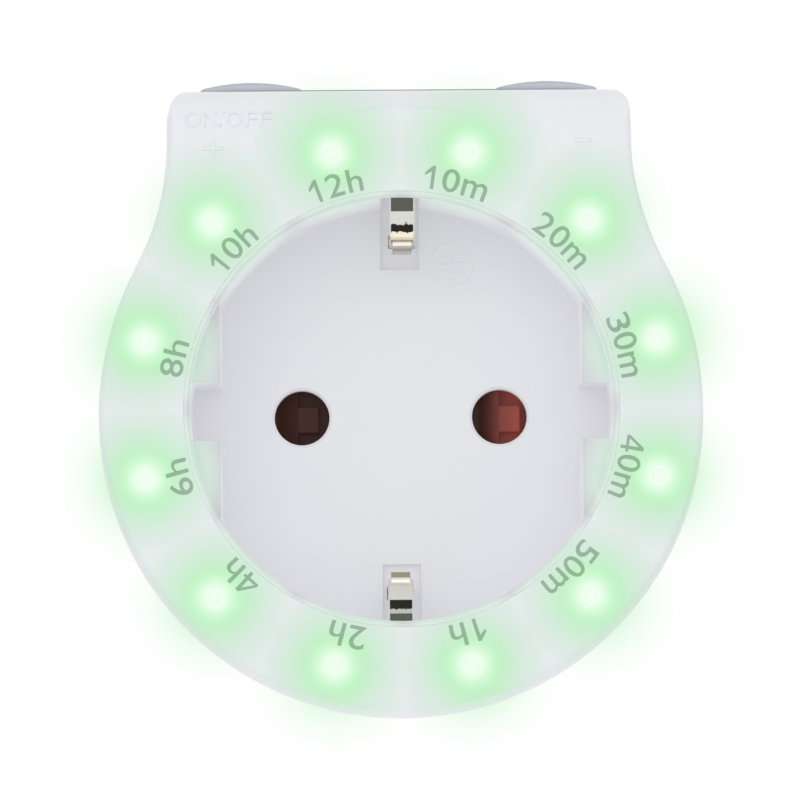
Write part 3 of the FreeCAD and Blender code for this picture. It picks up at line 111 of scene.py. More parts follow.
class Tree:
    """A node tree with short ways to add the nodes that the materials share."""

    def __init__(self, tree):
        self.tree = tree
        self.nodes = tree.nodes
        self.links = tree.links

    def new(self, kind, **settings):
        """A node of a kind, with its settings."""
        node = self.nodes.new(kind)
        for name, value in settings.items():
            setattr(node, name, value)
        return node

    def link(self, source, target):
        self.links.new(source, target)

    def place(self):
        """Object coordinates in millimetres, as three values."""
        spot = self.new("ShaderNodeTexCoord")
        parts = self.new("ShaderNodeSeparateXYZ")
        self.link(spot.outputs["Object"], parts.inputs[0])
        return [Value(self.tree, parts.outputs[i]) * (1.0 / MM) for i in range(3)]

    def behind_front(self):
        """How far behind the front face, in millimetres."""
        return self.place()[1] - FRONT / MM

    def noise(self, scale, detail=3.0, roughness=0.55):
        """Noise over object coordinates; scale is in turns per metre."""
        spot = self.new("ShaderNodeTexCoord")
        node = self.new("ShaderNodeTexNoise")
        node.inputs["Scale"].default_value = scale
        node.inputs["Detail"].default_value = detail
        node.inputs["Roughness"].default_value = roughness
        self.link(spot.outputs["Object"], node.inputs["Vector"])
        return node.outputs["Fac"]

    def ramp(self, source, stops):
        """Colours over a socket that goes from zero to one."""
        node = self.new("ShaderNodeValToRGB")
        elements = node.color_ramp.elements
        while len(elements) < len(stops):
            elements.new(1.0)
        for element, (at, colour) in zip(elements, stops):
            element.position = at
            element.color = (*colour, 1.0)
        self.link(source, node.inputs[0])
        return node.outputs[0]

    def spread(self, value, stops):
        """Colours over a value, with the stops in the value's own unit."""
        first = stops[0][0]
        last = stops[-1][0]
        share = (value - first) / (last - first)
        return self.ramp(share.source, [((at - first) / (last - first), c) for at, c in stops])

    def fade(self, value, start, end, first=0.0, last=1.0):
        """A number that goes from first to last while the value goes from start to end."""
        return Value(self.tree, self.spread(value, [(start, [first] * 3), (end, [last] * 3)]))

    def drift(self, colour, scale, detail, darkest, start=0.3):
        """The colour with a slight, slow change in how dark it is."""
        noise = self.noise(scale, detail)
        shade = self.ramp(noise, [(start, [darkest] * 3), (1.0 - start, [1.0] * 3)])
        return self.mix(1.0, colour, shade, "MULTIPLY")

    def mix(self, factor, first, second, kind="MIX"):
        """A blend of two colours. Each may be a socket or three numbers."""
        node = self.new("ShaderNodeMix", data_type="RGBA", blend_type=kind)
        for socket, item in ((0, factor), (6, first), (7, second)):
            if hasattr(item, "is_output"):
                self.link(item, node.inputs[socket])
            elif socket == 0:
                node.inputs[0].default_value = item
            else:
                node.inputs[socket].default_value = (*item, 1.0)
        return node.outputs[2]

    def bump(self, height, strength, distance, normal=None):
        """A normal with the height as a fine relief on it."""
        node = self.new("ShaderNodeBump")
        node.inputs["Strength"].default_value = strength
        node.inputs["Distance"].default_value = distance
        self.link(height, node.inputs["Height"])
        if normal is not None:
            self.link(normal, node.inputs["Normal"])
        return node.outputs[0]

    def ahead(self):
        """How squarely the face looks to the front: one when it faces there."""
        facing = self.new("ShaderNodeNewGeometry")
        parts = self.new("ShaderNodeSeparateXYZ")
        self.link(facing.outputs["Normal"], parts.inputs["Vector"])
        return Value(self.tree, parts.outputs["Y"]) * -1.0

    def soft_edges(self, radius):
        """A normal that rounds sharp edges off."""
        node = self.new("ShaderNodeBevel", samples=4)
        node.inputs["Radius"].default_value = radius
        return node.outputs[0]


def distance_on_face(x, z, depth=None):
    """Distance in millimetres to the nearest lamp, from a place on the front or behind it."""
    angle = x.math("ARCTAN2", z) * (180.0 / math.pi)
    turn = (angle + 360.0).math("MODULO", LAMP_STEP) - LAMP_FIRST
    radius = (x * x + z * z).math("SQRT")
    reach = (turn * (math.pi / 180.0)).math("COSINE")
    square = radius * radius - radius * reach * (2.0 * LAMP_CIRCLE) + LAMP_CIRCLE**2
    if depth is not None:
        square = square + depth * depth
    return square.math("MAXIMUM", 0.0).math("SQRT")


GLOW_DEPTH = 0.35  # how much of the depth behind the front counts as distance from a lamp


def lamp_distance(tree):
    """Distance in millimetres to the nearest lamp, with a share of the depth behind the front."""
    x, y, z = tree.place()
    return distance_on_face(x, z, (y - FRONT / MM) * GLOW_DEPTH)


BLACK = (0.0, 0.0, 0.0)
GLOW_REACH = 8.0  # millimetres over which a lamp's glow is painted on what is round it
FRONT_LIGHT = 1.035  # how bright a white front face turns out, for a base colour of one

# Painted glow of the lamps: distance from a lamp in millimetres, what a lit white face looks like
# there, and its emitted share
GLOW = [
    (0.0, (0.90, 0.99, 0.89), 1.0),
    (1.0, (0.80, 0.975, 0.81), 1.0),
    (1.35, (0.725, 0.975, 0.74), 0.7),
    (1.7, (0.65, 0.97, 0.67), 0.26),
    (2.4, (0.56, 0.92, 0.58), 0.17),
    (3.0, (0.57, 0.885, 0.60), 0.10),
    (4.5, (0.675, 0.855, 0.72), 0.05),
    (6.0, (0.75, 0.85, 0.80), 0.015),
]


def glow_ramps(base, shade=(1, 1, 1)):
    """Colour stops for the lamps' glow painted on a face: in its base colour and in its emission."""
    painted = []
    shining = []
    for distance, colour, share in GLOW:
        shaded = [c * k for c, k in zip(colour, shade)]
        painted.append((distance, [c * (1 - share) / FRONT_LIGHT for c in shaded]))
        shining.append((distance, [c * share for c in shaded]))
    painted.append((GLOW_REACH, [c * k for c, k in zip(base, shade)]))
    shining.append((GLOW_REACH, BLACK))
    return painted, shining


# Materials


def new_material(name):
    """A material, its tree and its main shader."""
    material = bpy.data.materials.new(name)
    material.use_nodes = True
    tree = Tree(material.node_tree)
    shader = material.node_tree.nodes["Principled BSDF"]
    return material, tree, shader


SEEP_NEAR = (0.2, 1.6)  # millimetres behind the front where the painted light starts on the walls
SEEP_DEEP = (8.0, 12.0)  # and where it starts on every face


def seeping_light(tree, colour):
    """Painted light that brightens the recess's plastic: its walls near the front, and every face
    further in.
    """
    wall = tree.fade(tree.ahead(), 0.3, 0.7, 1.0, 0.0)
    near = tree.fade(tree.behind_front(), *SEEP_NEAR)
    deep = tree.fade(tree.behind_front(), *SEEP_DEEP)
    return tree.mix((wall * near).math("MAXIMUM", deep).source, BLACK, colour)


def lit_plastic(name, base, roughness, grain, shade=(1, 1, 1), inner=0.0, soft=0.02):
    """White moulded plastic that the lamps shine through. Their green glow is painted on close to
    each one, in its base colour and as emission.

    shade scales its colour: darker for ink, and lighter for raised marks as a painted highlight.
    inner is the share of painted light that brightens the recess behind the front, and soft is the
    radius of its edges in millimetres."""
    material, tree, shader = new_material(name)
    distance = lamp_distance(tree)
    painted, shining = glow_ramps(base, shade)
    tree.link(
        tree.drift(tree.spread(distance, painted), 55.0, 2.0, 0.985), shader.inputs["Base Color"]
    )
    glow = tree.spread(distance, shining)
    if inner:
        glow = tree.mix(1.0, glow, seeping_light(tree, [c * inner for c in base]), "ADD")
    tree.link(glow, shader.inputs["Emission Color"])
    shader.inputs["Emission Strength"].default_value = 1.0
    shader.inputs["Roughness"].default_value = roughness
    shader.inputs["Specular IOR Level"].default_value = 0.2
    fine = tree.noise(2600.0, 4.0, 0.6)
    tree.link(
        tree.bump(fine, grain, 0.02 * MM, tree.soft_edges(soft * MM)), shader.inputs["Normal"]
    )
    return material


def plastic(name, base, roughness, grain, variation=0.05, speckle=1500.0):
    """Moulded plastic with a slight drift in colour and a fine grain."""
    material, tree, shader = new_material(name)
    drift = tree.noise(130.0, 3.0)
    dark = [c * (1 - variation) for c in base]
    tree.link(tree.ramp(drift, [(0.35, dark), (0.65, base)]), shader.inputs["Base Color"])
    rough = tree.ramp(
        tree.noise(420.0, 3.0),
        [(0.3, [roughness * 0.85] * 3), (0.7, [min(1.0, roughness * 1.15)] * 3)],
    )
    tree.link(rough, shader.inputs["Roughness"])
    fine = tree.noise(speckle, 4.0, 0.6)
    tree.link(
        tree.bump(fine, grain, 0.03 * MM, tree.soft_edges(0.08 * MM)), shader.inputs["Normal"]
    )
    return material


def button_plastic(name):
    """Satin silver-grey plastic with painted shade: darker where the crown turns upward, away from
    the front.
    """
    material, tree, shader = new_material(name)
    # painted shade: the colour darkens as the face turns away from the front
    painted_lighting = tree.spread(
        tree.ahead(),
        [(0.1, (0.3, 0.33, 0.35)), (0.22, (0.43, 0.45, 0.49)), (0.5, (0.56, 0.58, 0.64))],
    )
    tree.link(tree.drift(painted_lighting, 130.0, 3.0, 0.97, 0.35), shader.inputs["Base Color"])
    shader.inputs["Roughness"].default_value = 0.5
    shader.inputs["Specular IOR Level"].default_value = 0.15
    tree.link(tree.soft_edges(0.08 * MM), shader.inputs["Normal"])
    return material


def metal(name, base, roughness, brushed=(1.0, 1.0, 1.0), streak=0.12):
    """Bare or plated metal with rolling marks stretched along one axis."""
    material, tree, shader = new_material(name)
    spot = tree.new("ShaderNodeTexCoord")
    stretch = tree.new("ShaderNodeMapping")
    stretch.inputs["Scale"].default_value = brushed
    tree.link(spot.outputs["Object"], stretch.inputs["Vector"])
    marks = tree.new("ShaderNodeTexNoise")
    marks.inputs["Scale"].default_value = 2500.0
    marks.inputs["Detail"].default_value = 3.0
    tree.link(stretch.outputs[0], marks.inputs["Vector"])
    stain = tree.noise(240.0, 4.0, 0.6)
    worn = [c * (1 - streak) for c in base]
    tree.link(tree.ramp(stain, [(0.3, worn), (0.75, base)]), shader.inputs["Base Color"])
    rough = tree.ramp(
        marks.outputs["Fac"], [(0.25, [roughness * 0.6] * 3), (0.8, [roughness * 1.4] * 3)]
    )
    tree.link(rough, shader.inputs["Roughness"])
    shader.inputs["Metallic"].default_value = 1.0
    tree.link(
        tree.bump(marks.outputs["Fac"], 0.05, 0.02 * MM, tree.soft_edges(0.06 * MM)),
        shader.inputs["Normal"],
    )
    return material


def circuit_board(name):
    """Green solder mask over woven glass cloth, with the copper tracks showing through a little."""
    material, tree, shader = new_material(name)
    spot = tree.new("ShaderNodeTexCoord")
    weave = []
    for direction in ("X", "Z"):
        wave = tree.new("ShaderNodeTexWave", wave_type="BANDS", bands_direction=direction)
        wave.inputs["Scale"].default_value = 520.0
        wave.inputs["Distortion"].default_value = 0.4
        tree.link(spot.outputs["Object"], wave.inputs["Vector"])
        weave.append(wave.outputs["Fac"])
    cloth = tree.mix(0.5, weave[0], weave[1])
    tracks = tree.new("ShaderNodeTexBrick")
    tracks.inputs["Scale"].default_value = 210.0
    tracks.inputs["Mortar Size"].default_value = 0.06
    tracks.inputs["Color1"].default_value = (0.018, 0.13, 0.04, 1)
    tracks.inputs["Color2"].default_value = (0.028, 0.17, 0.05, 1)
    tracks.inputs["Mortar"].default_value = (0.012, 0.085, 0.03, 1)
    turn = tree.new("ShaderNodeMapping")
    turn.inputs["Rotation"].default_value = (math.radians(90), 0, 0)
    tree.link(spot.outputs["Object"], turn.inputs["Vector"])
    tree.link(turn.outputs[0], tracks.inputs["Vector"])
    tree.link(
        tree.mix(0.12, tracks.outputs["Color"], cloth, "MULTIPLY"), shader.inputs["Base Color"]
    )
    shader.inputs["Roughness"].default_value = 0.32
    tree.link(tree.bump(cloth, 0.12, 0.03 * MM), shader.inputs["Normal"])
    return material


def lamp_lens(name):
    """The lamp's milky lens, lit from inside."""
    material, tree, shader = new_material(name)
    cells = tree.noise(900.0, 2.0)
    tree.link(
        tree.ramp(cells, [(0.2, (0.55, 0.9, 0.56)), (0.8, (0.8, 0.98, 0.8))]),
        shader.inputs["Base Color"],
    )
    shader.inputs["Roughness"].default_value = 0.25
    shader.inputs["Emission Color"].default_value = (0.55, 1.0, 0.58, 1)
    shader.inputs["Emission Strength"].default_value = 1.2
    return material


def light_guide_material(name):
    """Clear plastic whose twelve pips glow: near white in the middle and pale green at the rim."""
    material, tree, shader = new_material(name)
    distance = lamp_distance(tree)
    painted, shining = glow_ramps((0.6, 0.72, 0.61))
    plain = tree.drift(tree.spread(distance, painted), 1300.0, 3.0, 0.97)
    tree.link(plain, shader.inputs["Base Color"])
    tree.link(tree.spread(distance, shining), shader.inputs["Emission Color"])
    shader.inputs["Emission Strength"].default_value = 1.0
    shader.inputs["Roughness"].default_value = 0.35
    shader.inputs["Specular IOR Level"].default_value = 0.05
    return material


# Painted reflection bands on the earth clips: how far from the socket's middle each ends in
# millimetres, and its tone
BANDS_START = 15.0
TOP_REFLECTION_BANDS = [
    (15.5, (0.25, 0.23, 0.19)),
    (15.74, (0.35, 0.33, 0.27)),
    (16.06, (0.7, 0.66, 0.6)),
    (16.3, (0.36, 0.32, 0.26)),
    (16.95, (1.0, 0.9, 0.72)),
    (17.7, (0.02, 0.018, 0.014)),
    (18.85, (0.74, 0.73, 0.67)),
    (20.5, (0.11, 0.12, 0.098)),
]
LOW_REFLECTION_BANDS = [
    (15.76, (0.24, 0.21, 0.16)),
    (16.0, (0.6, 0.57, 0.5)),
    (17.9, (0.8, 0.77, 0.71)),
    (18.8, (0.025, 0.025, 0.018)),
    (19.22, (0.57, 0.58, 0.52)),
    (20.5, (0.11, 0.12, 0.1)),
]
BAND_BLUR = 0.03

# Where the ends of the painted black reflection bands are ragged, from and to, and by how much, in
# millimetres
TOP_RAGGED = (16.87, 18.08, 0.935)
LOW_RAGGED = (18.3, 18.96, 0.44)
RAGGED_BLUR = 0.055

LEAF_MIDDLE = 0.18  # how far the clip's leaf is off the socket's middle, in millimetres
LEAF_EDGE = (1.03, 1.09)  # where the painted bands stop and its bright edge begins, in millimetres from its middle
LEAF_BARE = (16.0, 18.0)  # where the painted reflection bands end, in millimetres behind the front


def painted_reflection_bands(tree, high, bands, ragged):
    """The painted reflection bands over the height on a clip, with ragged ends between two heights.
    """
    start, end, amount = ragged
    inside = tree.fade(high, start, start + RAGGED_BLUR) * tree.fade(
        high, end - RAGGED_BLUR, end, 1.0, 0.0
    )
    noise = Value(tree.tree, tree.noise(2600.0, 2.0)) - 0.5
    stops = []
    edge = BANDS_START
    for band_end, painted_lighting in bands:
        stops += [(edge + BAND_BLUR, painted_lighting), (band_end - BAND_BLUR, painted_lighting)]
        edge = band_end
    return tree.spread(high + noise * inside * amount, stops)


def sprung_plate(name):
    """Bright nickel. On the earth clips' bent faces the room's reflection is painted into the base
    colour as dark and pale bands, with less metal there.
    """
    material = metal(name, (0.72, 0.7, 0.67), 0.14, (1.0, 0.08, 1.0), 0.06)
    tree = Tree(material.node_tree)
    shader = material.node_tree.nodes["Principled BSDF"]
    plain = shader.inputs["Base Color"].links[0].from_socket
    x, _, z = tree.place()
    side = z.math("SIGN")
    high = z * side
    # painted reflections: dark, pale and highlight bands over the height of each clip
    top = painted_reflection_bands(tree, high, TOP_REFLECTION_BANDS, TOP_RAGGED)
    low = painted_reflection_bands(tree, high, LOW_REFLECTION_BANDS, LOW_RAGGED)
    face = tree.mix((side * 0.5 + 0.5).source, low, top)
    from_middle = (x * side - LEAF_MIDDLE).math("ABSOLUTE")
    face = tree.mix(tree.fade(from_middle, *LEAF_EDGE).source, face, (0.72, 0.71, 0.69))
    bare = tree.fade(tree.behind_front(), *LEAF_BARE)
    tree.link(tree.mix(bare.source, face, plain), shader.inputs["Base Color"])
    tree.link(
        tree.fade(tree.behind_front(), *LEAF_BARE, 0.35, 1.0).source, shader.inputs["Metallic"]
    )
    shader.inputs["Specular IOR Level"].default_value = 0.1
    return material


# Painted light and shade of the shutter over x in millimetres: dark at the left pin hole, lit red at
# the right one
SHUTTER_LIGHT_AND_SHADE = [
    (6.0, (0.058, 0.022, 0.017)),
    (7.8, (0.062, 0.024, 0.019)),
    (8.52, (0.11, 0.036, 0.029)),
    (9.12, (0.2, 0.056, 0.046)),
    (9.72, (0.28, 0.068, 0.055)),
    (11.28, (0.4, 0.082, 0.06)),
    (11.82, (0.22, 0.06, 0.05)),
]


def shutter_plastic(name):
    """Red plastic deep behind the pin holes, with painted light and shade: dark on the left, lit red
    on the right, and a faint emission that lifts its shadows.
    """
    material, tree, shader = new_material(name)
    painted_lighting = tree.drift(tree.spread(tree.place()[0], SHUTTER_LIGHT_AND_SHADE), 420.0, 3.0, 0.88)
    tree.link(tree.mix(1.0, painted_lighting, (0.7, 0.7, 0.7), "MULTIPLY"), shader.inputs["Base Color"])
    # painted light: a faint emission of the same colours lifts the shutter's shadows
    tree.link(painted_lighting, shader.inputs["Emission Color"])
    shader.inputs["Emission Strength"].default_value = 0.22
    shader.inputs["Roughness"].default_value = 0.42
    shader.inputs["Specular IOR Level"].default_value = 0.12
    tree.link(
        tree.bump(tree.noise(1500.0), 0.15, 0.03 * MM, tree.soft_edges(0.2 * MM)),
        shader.inputs["Normal"],
    )
    return material


# Base colours of the case and of the recess, and the painted light that brightens the recess
CASE = (0.815, 0.835, 0.865)
INSERT = (0.657, 0.652, 0.68)
INSERT_SEEP = 0.26

MATERIALS = {
    "white_case": lit_plastic("white_case", CASE, 0.45, 0.14),
    "white_insert": lit_plastic("white_insert", INSERT, 0.4, 0.1, inner=INSERT_SEEP),
    "clear_guide": light_guide_material("clear_guide"),
    "lamp": lamp_lens("lamp"),
    "board": circuit_board("board"),
    "silver_trim": plastic("silver_trim", (0.33, 0.345, 0.355), 0.3, 0.08),
    "silver_button": button_plastic("silver_button"),
    "black_plastic": plastic("black_plastic", (0.02, 0.02, 0.021), 0.5, 0.2),
    "chip": plastic("chip", (0.022, 0.022, 0.024), 0.62, 0.35, 0.15),
    "tinned_brass": metal("tinned_brass", (0.72, 0.71, 0.68), 0.22),
    "grey_cable": plastic("grey_cable", (0.28, 0.29, 0.31), 0.45, 0.1),
    "cream_plastic": plastic("cream_plastic", (0.7, 0.66, 0.53), 0.46, 0.2),
    "red_shutter": shutter_plastic("red_shutter"),
    "spring_steel": metal("spring_steel", (0.55, 0.55, 0.57), 0.25, (1.0, 0.2, 1.0)),
    "contact_brass": metal("contact_brass", (0.78, 0.55, 0.24), 0.26, (1.0, 0.1, 1.0)),
    "nickel_plate": sprung_plate("nickel_plate"),
    "relay_case": plastic("relay_case", (0.015, 0.06, 0.22), 0.28, 0.1),
    "yellow_case": plastic("yellow_case", (0.68, 0.44, 0.03), 0.4, 0.15),
    "dark_sleeve": plastic("dark_sleeve", (0.02, 0.02, 0.026), 0.22, 0.08),
    "blue_coating": plastic("blue_coating", (0.02, 0.07, 0.26), 0.3, 0.3, 0.15, 700.0),
    "resistor_body": plastic("resistor_body", (0.27, 0.42, 0.48), 0.35, 0.15),
    "screw_steel": metal("screw_steel", (0.6, 0.6, 0.6), 0.26, (1.0, 1.0, 1.0), 0.15),
}


def dress_nodes():
    """Each node of the CAD gets the material that the record names for it."""
    slots = {entry["node"]: entry["material_slot"] for entry in frame["record"]["subparts"]}
    for name, node in frame["nodes"].items():
        node.data.materials.clear()
        node.data.materials.append(MATERIALS[slots[name]])


# Marks


# Left edge, right edge, height and advance of each sign, as shares of the letter size
SIGNS = {
    "0": (0.04, 0.52, 0.72, 0.556),
    "1": (0.1, 0.37, 0.72, 0.556),
    "2": (0.03, 0.5, 0.72, 0.556),
    "3": (0.04, 0.52, 0.72, 0.556),
    "4": (0.01, 0.51, 0.72, 0.556),
    "5": (0.035, 0.515, 0.72, 0.556),
    "6": (0.035, 0.51, 0.72, 0.556),
    "8": (0.04, 0.515, 0.72, 0.556),
    "h": (0.065, 0.49, 0.72, 0.556),
    "m": (0.065, 0.77, 0.53, 0.833),
    "O": (0.05, 0.74, 0.72, 0.78),
    "N": (0.08, 0.64, 0.72, 0.72),
    "F": (0.08, 0.57, 0.72, 0.61),
    "/": (0.0, 0.28, 0.74, 0.28),
    "+": (0.05, 0.53, 0.48, 0.58),
    "-": (0.03, 0.3, 0.1, 0.33),
}

# Signs made of straight strokes: closed outlines inside a box of one by one
STRAIGHT = {
    "1": [[(0.64, 0), (1, 0), (1, 1), (0.7, 1), (0, 0.7), (0, 0.57), (0.64, 0.76)]],
    "4": [
        [(0.64, 0), (0.84, 0), (0.84, 0.23), (0.64, 0.23)],
        [(0, 0.23), (1, 0.23), (1, 0.355), (0, 0.355)],
        [(0.64, 0.355), (0.84, 0.355), (0.84, 1), (0.64, 1)],
        [(0, 0.355), (0.19, 0.355), (0.64, 0.8), (0.64, 1)],
    ],
    "/": [[(0, 0), (0.27, 0), (1, 1), (0.73, 1)]],
    "+": [
        [(0, 0.42), (0.42, 0.42), (0.42, 0.58), (0, 0.58)],
        [(0.42, 0), (0.58, 0), (0.58, 1), (0.42, 1)],
        [(0.58, 0.42), (1, 0.42), (1, 0.58), (0.58, 0.58)],
    ],
    "-": [[(0, 0), (1, 0), (1, 1), (0, 1)]],
}


def straight_sign(outlines, thickness):
    """Flat plates with the given outlines, as points and faces."""
    points = []
    faces = []
    for outline in outlines:
        first = len(points)
        count = len(outline)
        for height in (-thickness / 2, thickness / 2):
            points += [(u, v, height) for u, v in outline]
        faces.append(tuple(range(first + count - 1, first - 1, -1)))
        faces.append(tuple(range(first + count, first + 2 * count)))
        for index in range(count):
            after = (index + 1) % count
            faces.append((first + index, first + after, first + count + after, first + count + index))
    return points, faces


def curved_sign(sign, bold, thickness):
    """One sign of the plain built-in letters, as points and faces."""
    curve = bpy.data.curves.new("sign", "FONT")
    curve.body = sign
    curve.offset = bold
    curve.extrude = thickness / 2
    curve.resolution_u = 6
    holder = bpy.data.objects.new("sign", curve)
    bpy.context.scene.collection.objects.link(holder)
    bpy.context.view_layer.update()
    mesh = bpy.data.meshes.new_from_object(
        holder.evaluated_get(bpy.context.evaluated_depsgraph_get())
    )
    bpy.data.objects.remove(holder)
    points = [tuple(vertex.co) for vertex in mesh.vertices]
    faces = [tuple(face.vertices) for face in mesh.polygons]
    bpy.data.meshes.remove(mesh)
    return points, faces


def corners(points):
    """The lowest and the highest u and v of some points."""
    low = [min(point[i] for point in points) for i in range(2)]
    high = [max(point[i] for point in points) for i in range(2)]
    return low, high


def letters(name, words, bold, thickness):
    """A row of signs as one mesh in its own plane, centred on its middle, and its size."""
    points = []
    faces = []
    pen = 0.0
    for sign in words:
        left, right, tall, step = SIGNS[sign]
        if sign in STRAIGHT:
            own, rings = straight_sign(STRAIGHT[sign], thickness)
        else:
            own, rings = curved_sign(sign, bold, thickness)
        low, high = corners(own)
        first = len(points)
        for u, v, height in own:
            u = pen + left + (u - low[0]) / (high[0] - low[0]) * (right - left)
            v = (v - low[1]) / (high[1] - low[1]) * tall
            points.append((u, v, height))
        faces += [tuple(first + index for index in ring) for ring in rings]
        pen += step
    low, high = corners(points)
    middle = [(low[i] + high[i]) / 2 for i in range(2)]
    mesh = bpy.data.meshes.new(name)
    mesh.from_pydata([(u - middle[0], v - middle[1], h) for u, v, h in points], [], faces)
    mesh.update()
    return mesh, high[0] - low[0], high[1] - low[1]


def add_piece(name, mesh, material):
    """A visible piece that rides on the case."""
    mesh.materials.clear()
    mesh.materials.append(material)
    piece = bpy.data.objects.new(name, mesh)
    bpy.context.scene.collection.objects.link(piece)
    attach(piece, "housing")


INK_BOLD = 0.006  # how much the ink swells the letters, as a share of their size
INK_THICKNESS = 0.02 * MM
INK_SINK = 0.003 * MM  # how far behind the front face the middle of the ink lies


def arc_label(name, words, angle, width, height, radius, material):
    """Printed words that follow the ring, tops outward."""
    mesh, wide, tall = letters(name, words, INK_BOLD, INK_THICKNESS)
    for vertex in mesh.vertices:
        u = vertex.co.x * width / wide
        v = vertex.co.y * height / tall
        turn = angle + u / radius
        distance = radius + v
        vertex.co = Vector(
            (distance * math.sin(turn), FRONT + INK_SINK - vertex.co.z, distance * math.cos(turn))
        )
    add_piece(name, mesh, material)


def head_surface(z):
    """Depth of the head's front at a height, where its upper edge rolls back."""
    over = z - (HEAD_TOP - HEAD_ROLL)
    if over <= 0:
        return FRONT
    return FRONT + HEAD_ROLL - math.sqrt(max(HEAD_ROLL**2 - over**2, 0.0))


MARK_RISE = 0.06 * MM
MARK_ROOT = 0.05 * MM  # how deep a raised mark reaches into the face


def raised_mark(name, words, x, z, width, height, material):
    """Raised words on the front of the head."""
    mesh, wide, tall = letters(name, words, 0.0, 1.0)
    for vertex in mesh.vertices:
        u = x + vertex.co.x * width / wide
        v = z + vertex.co.y * height / tall
        lift = MARK_RISE if vertex.co.z > 0 else -MARK_ROOT
        vertex.co = Vector((u, head_surface(v) - lift, v))
    add_piece(name, mesh, material)


# Faces of a box whose corners go round its bottom and then its top
BOX_FACES = [
    (0, 1, 2, 3),
    (4, 7, 6, 5),
    (0, 4, 5, 1),
    (1, 5, 6, 2),
    (2, 6, 7, 3),
    (3, 7, 4, 0),
]

# The earth sign's ring, and the places and half sizes of its upright and its three bars, in mm
EARTH_RADIUS = 2.07
EARTH_HALF_LINE = 0.09
EARTH_STEPS = 48
EARTH_BARS = [
    (0.87, EARTH_HALF_LINE, 0.74),
    (0.08, 1.5, EARTH_HALF_LINE),
    (-0.69, 1.2, EARTH_HALF_LINE),
    (-1.55, 0.55, EARTH_HALF_LINE),
]


def earth_mark(name, x, z, material):
    """The raised protective-earth sign: a ring round an upright over three bars."""
    points = []
    faces = []
    top = FLOOR - MARK_RISE
    bottom = FLOOR + MARK_ROOT
    inner = (EARTH_RADIUS - EARTH_HALF_LINE) * MM
    outer = (EARTH_RADIUS + EARTH_HALF_LINE) * MM
    for step in range(EARTH_STEPS):
        turn = 2 * math.pi * step / EARTH_STEPS
        for distance, height in ((inner, bottom), (inner, top), (outer, top), (outer, bottom)):
            points.append((x + distance * math.sin(turn), height, z + distance * math.cos(turn)))
    for step in range(EARTH_STEPS):
        here = step * 4
        there = (step + 1) % EARTH_STEPS * 4
        for corner in range(4):
            after = (corner + 1) % 4
            faces.append((here + corner, here + after, there + after, there + corner))
    for up, half_x, half_z in EARTH_BARS:
        first = len(points)
        for height in (bottom, top):
            for side_x, side_z in ((-1, -1), (1, -1), (1, 1), (-1, 1)):
                across = x + side_x * half_x * MM
                points.append((across, height, z + (up + side_z * half_z) * MM))
        faces += [tuple(first + corner for corner in face) for face in BOX_FACES]
    mesh = bpy.data.meshes.new(name)
    mesh.from_pydata(points, [], faces)
    mesh.update()
    add_piece(name, mesh, material)


LABEL_RADIUS = 22.0 * MM
LABEL_HEIGHT = 2.2 * MM
LABEL_TURN = -1.0  # degrees by which a label is turned from its lamp's middle
LABEL_TURNS = {"30m": -0.4, "40m": -0.1, "6h": -1.9, "8h": -2.1}
LABEL_WIDTHS = {"1h": 3.3, "10h": 5.0, "12h": 5.1}
MINUTES_WIDTH = 6.05
HOURS_WIDTH = 3.5


def make_labels():
    """The printed time beside each lamp."""
    ink = lit_plastic("grey_ink", CASE, 0.6, 0.05, (0.5, 0.53, 0.51))
    for index, words in enumerate(LAMP_LABELS):
        turn = LABEL_TURNS.get(words, LABEL_TURN)
        angle = math.radians(LAMP_FIRST + LAMP_STEP * index + turn)
        usual = MINUTES_WIDTH if words.endswith("m") else HOURS_WIDTH
        width = LABEL_WIDTHS.get(words, usual) * MM
        arc_label(f"label_{words}", words, angle, width, LABEL_HEIGHT, LABEL_RADIUS, ink)


def make_raised_marks():
    """The faint raised signs on the head and on the floor of the recess, a little lighter than the
    face round them as a painted highlight.
    """
    # painted highlight: the raised marks are coloured lighter than the plastic they are moulded in
    proud = lit_plastic("case_marks", CASE, 0.45, 0.05, (1.03, 1.025, 1.02), soft=0.13)
    raised_mark("mark_on_off", "ON/OFF", -16.2 * MM, 27.45 * MM, 8.1 * MM, 1.5 * MM, proud)
    raised_mark("mark_plus", "+", -17.6 * MM, 24.66 * MM, 1.8 * MM, 1.8 * MM, proud)
    raised_mark("mark_minus", "-", 17.3 * MM, 25.2 * MM, 1.5 * MM, 0.3 * MM, proud)
    proud = lit_plastic("floor_marks", INSERT, 0.4, 0.05, (1.06, 1.06, 1.05), INSERT_SEEP, 0.13)
    earth_mark("mark_earth", 5.0 * MM, 14.7 * MM, proud)


# Surroundings


def light_panel(name, size, energy, place, aim):
    """A white panel of light that looks at a point."""
    data = bpy.data.lights.new(name, "AREA")
    data.shape = "RECTANGLE"
    data.size, data.size_y = size
    data.energy = energy
    lamp = bpy.data.objects.new(name, data)
    lamp.location = place
    lamp.rotation_euler = (Vector(aim) - Vector(place)).to_track_quat("-Z", "Y").to_euler()
    bpy.context.scene.collection.objects.link(lamp)


# The lamps' halo on the white background: distance from a lamp in millimetres, and the colour there
HALO = [
    (0.0, (0.7, 0.95, 0.71)),
    (3.8, (0.73, 0.955, 0.74)),
    (4.7, (0.83, 0.967, 0.83)),
    (5.7, (0.9, 0.983, 0.9)),
    (7.0, (0.955, 0.995, 0.955)),
    (8.5, (1, 1, 1)),
]
DAYLIGHT = 0.86


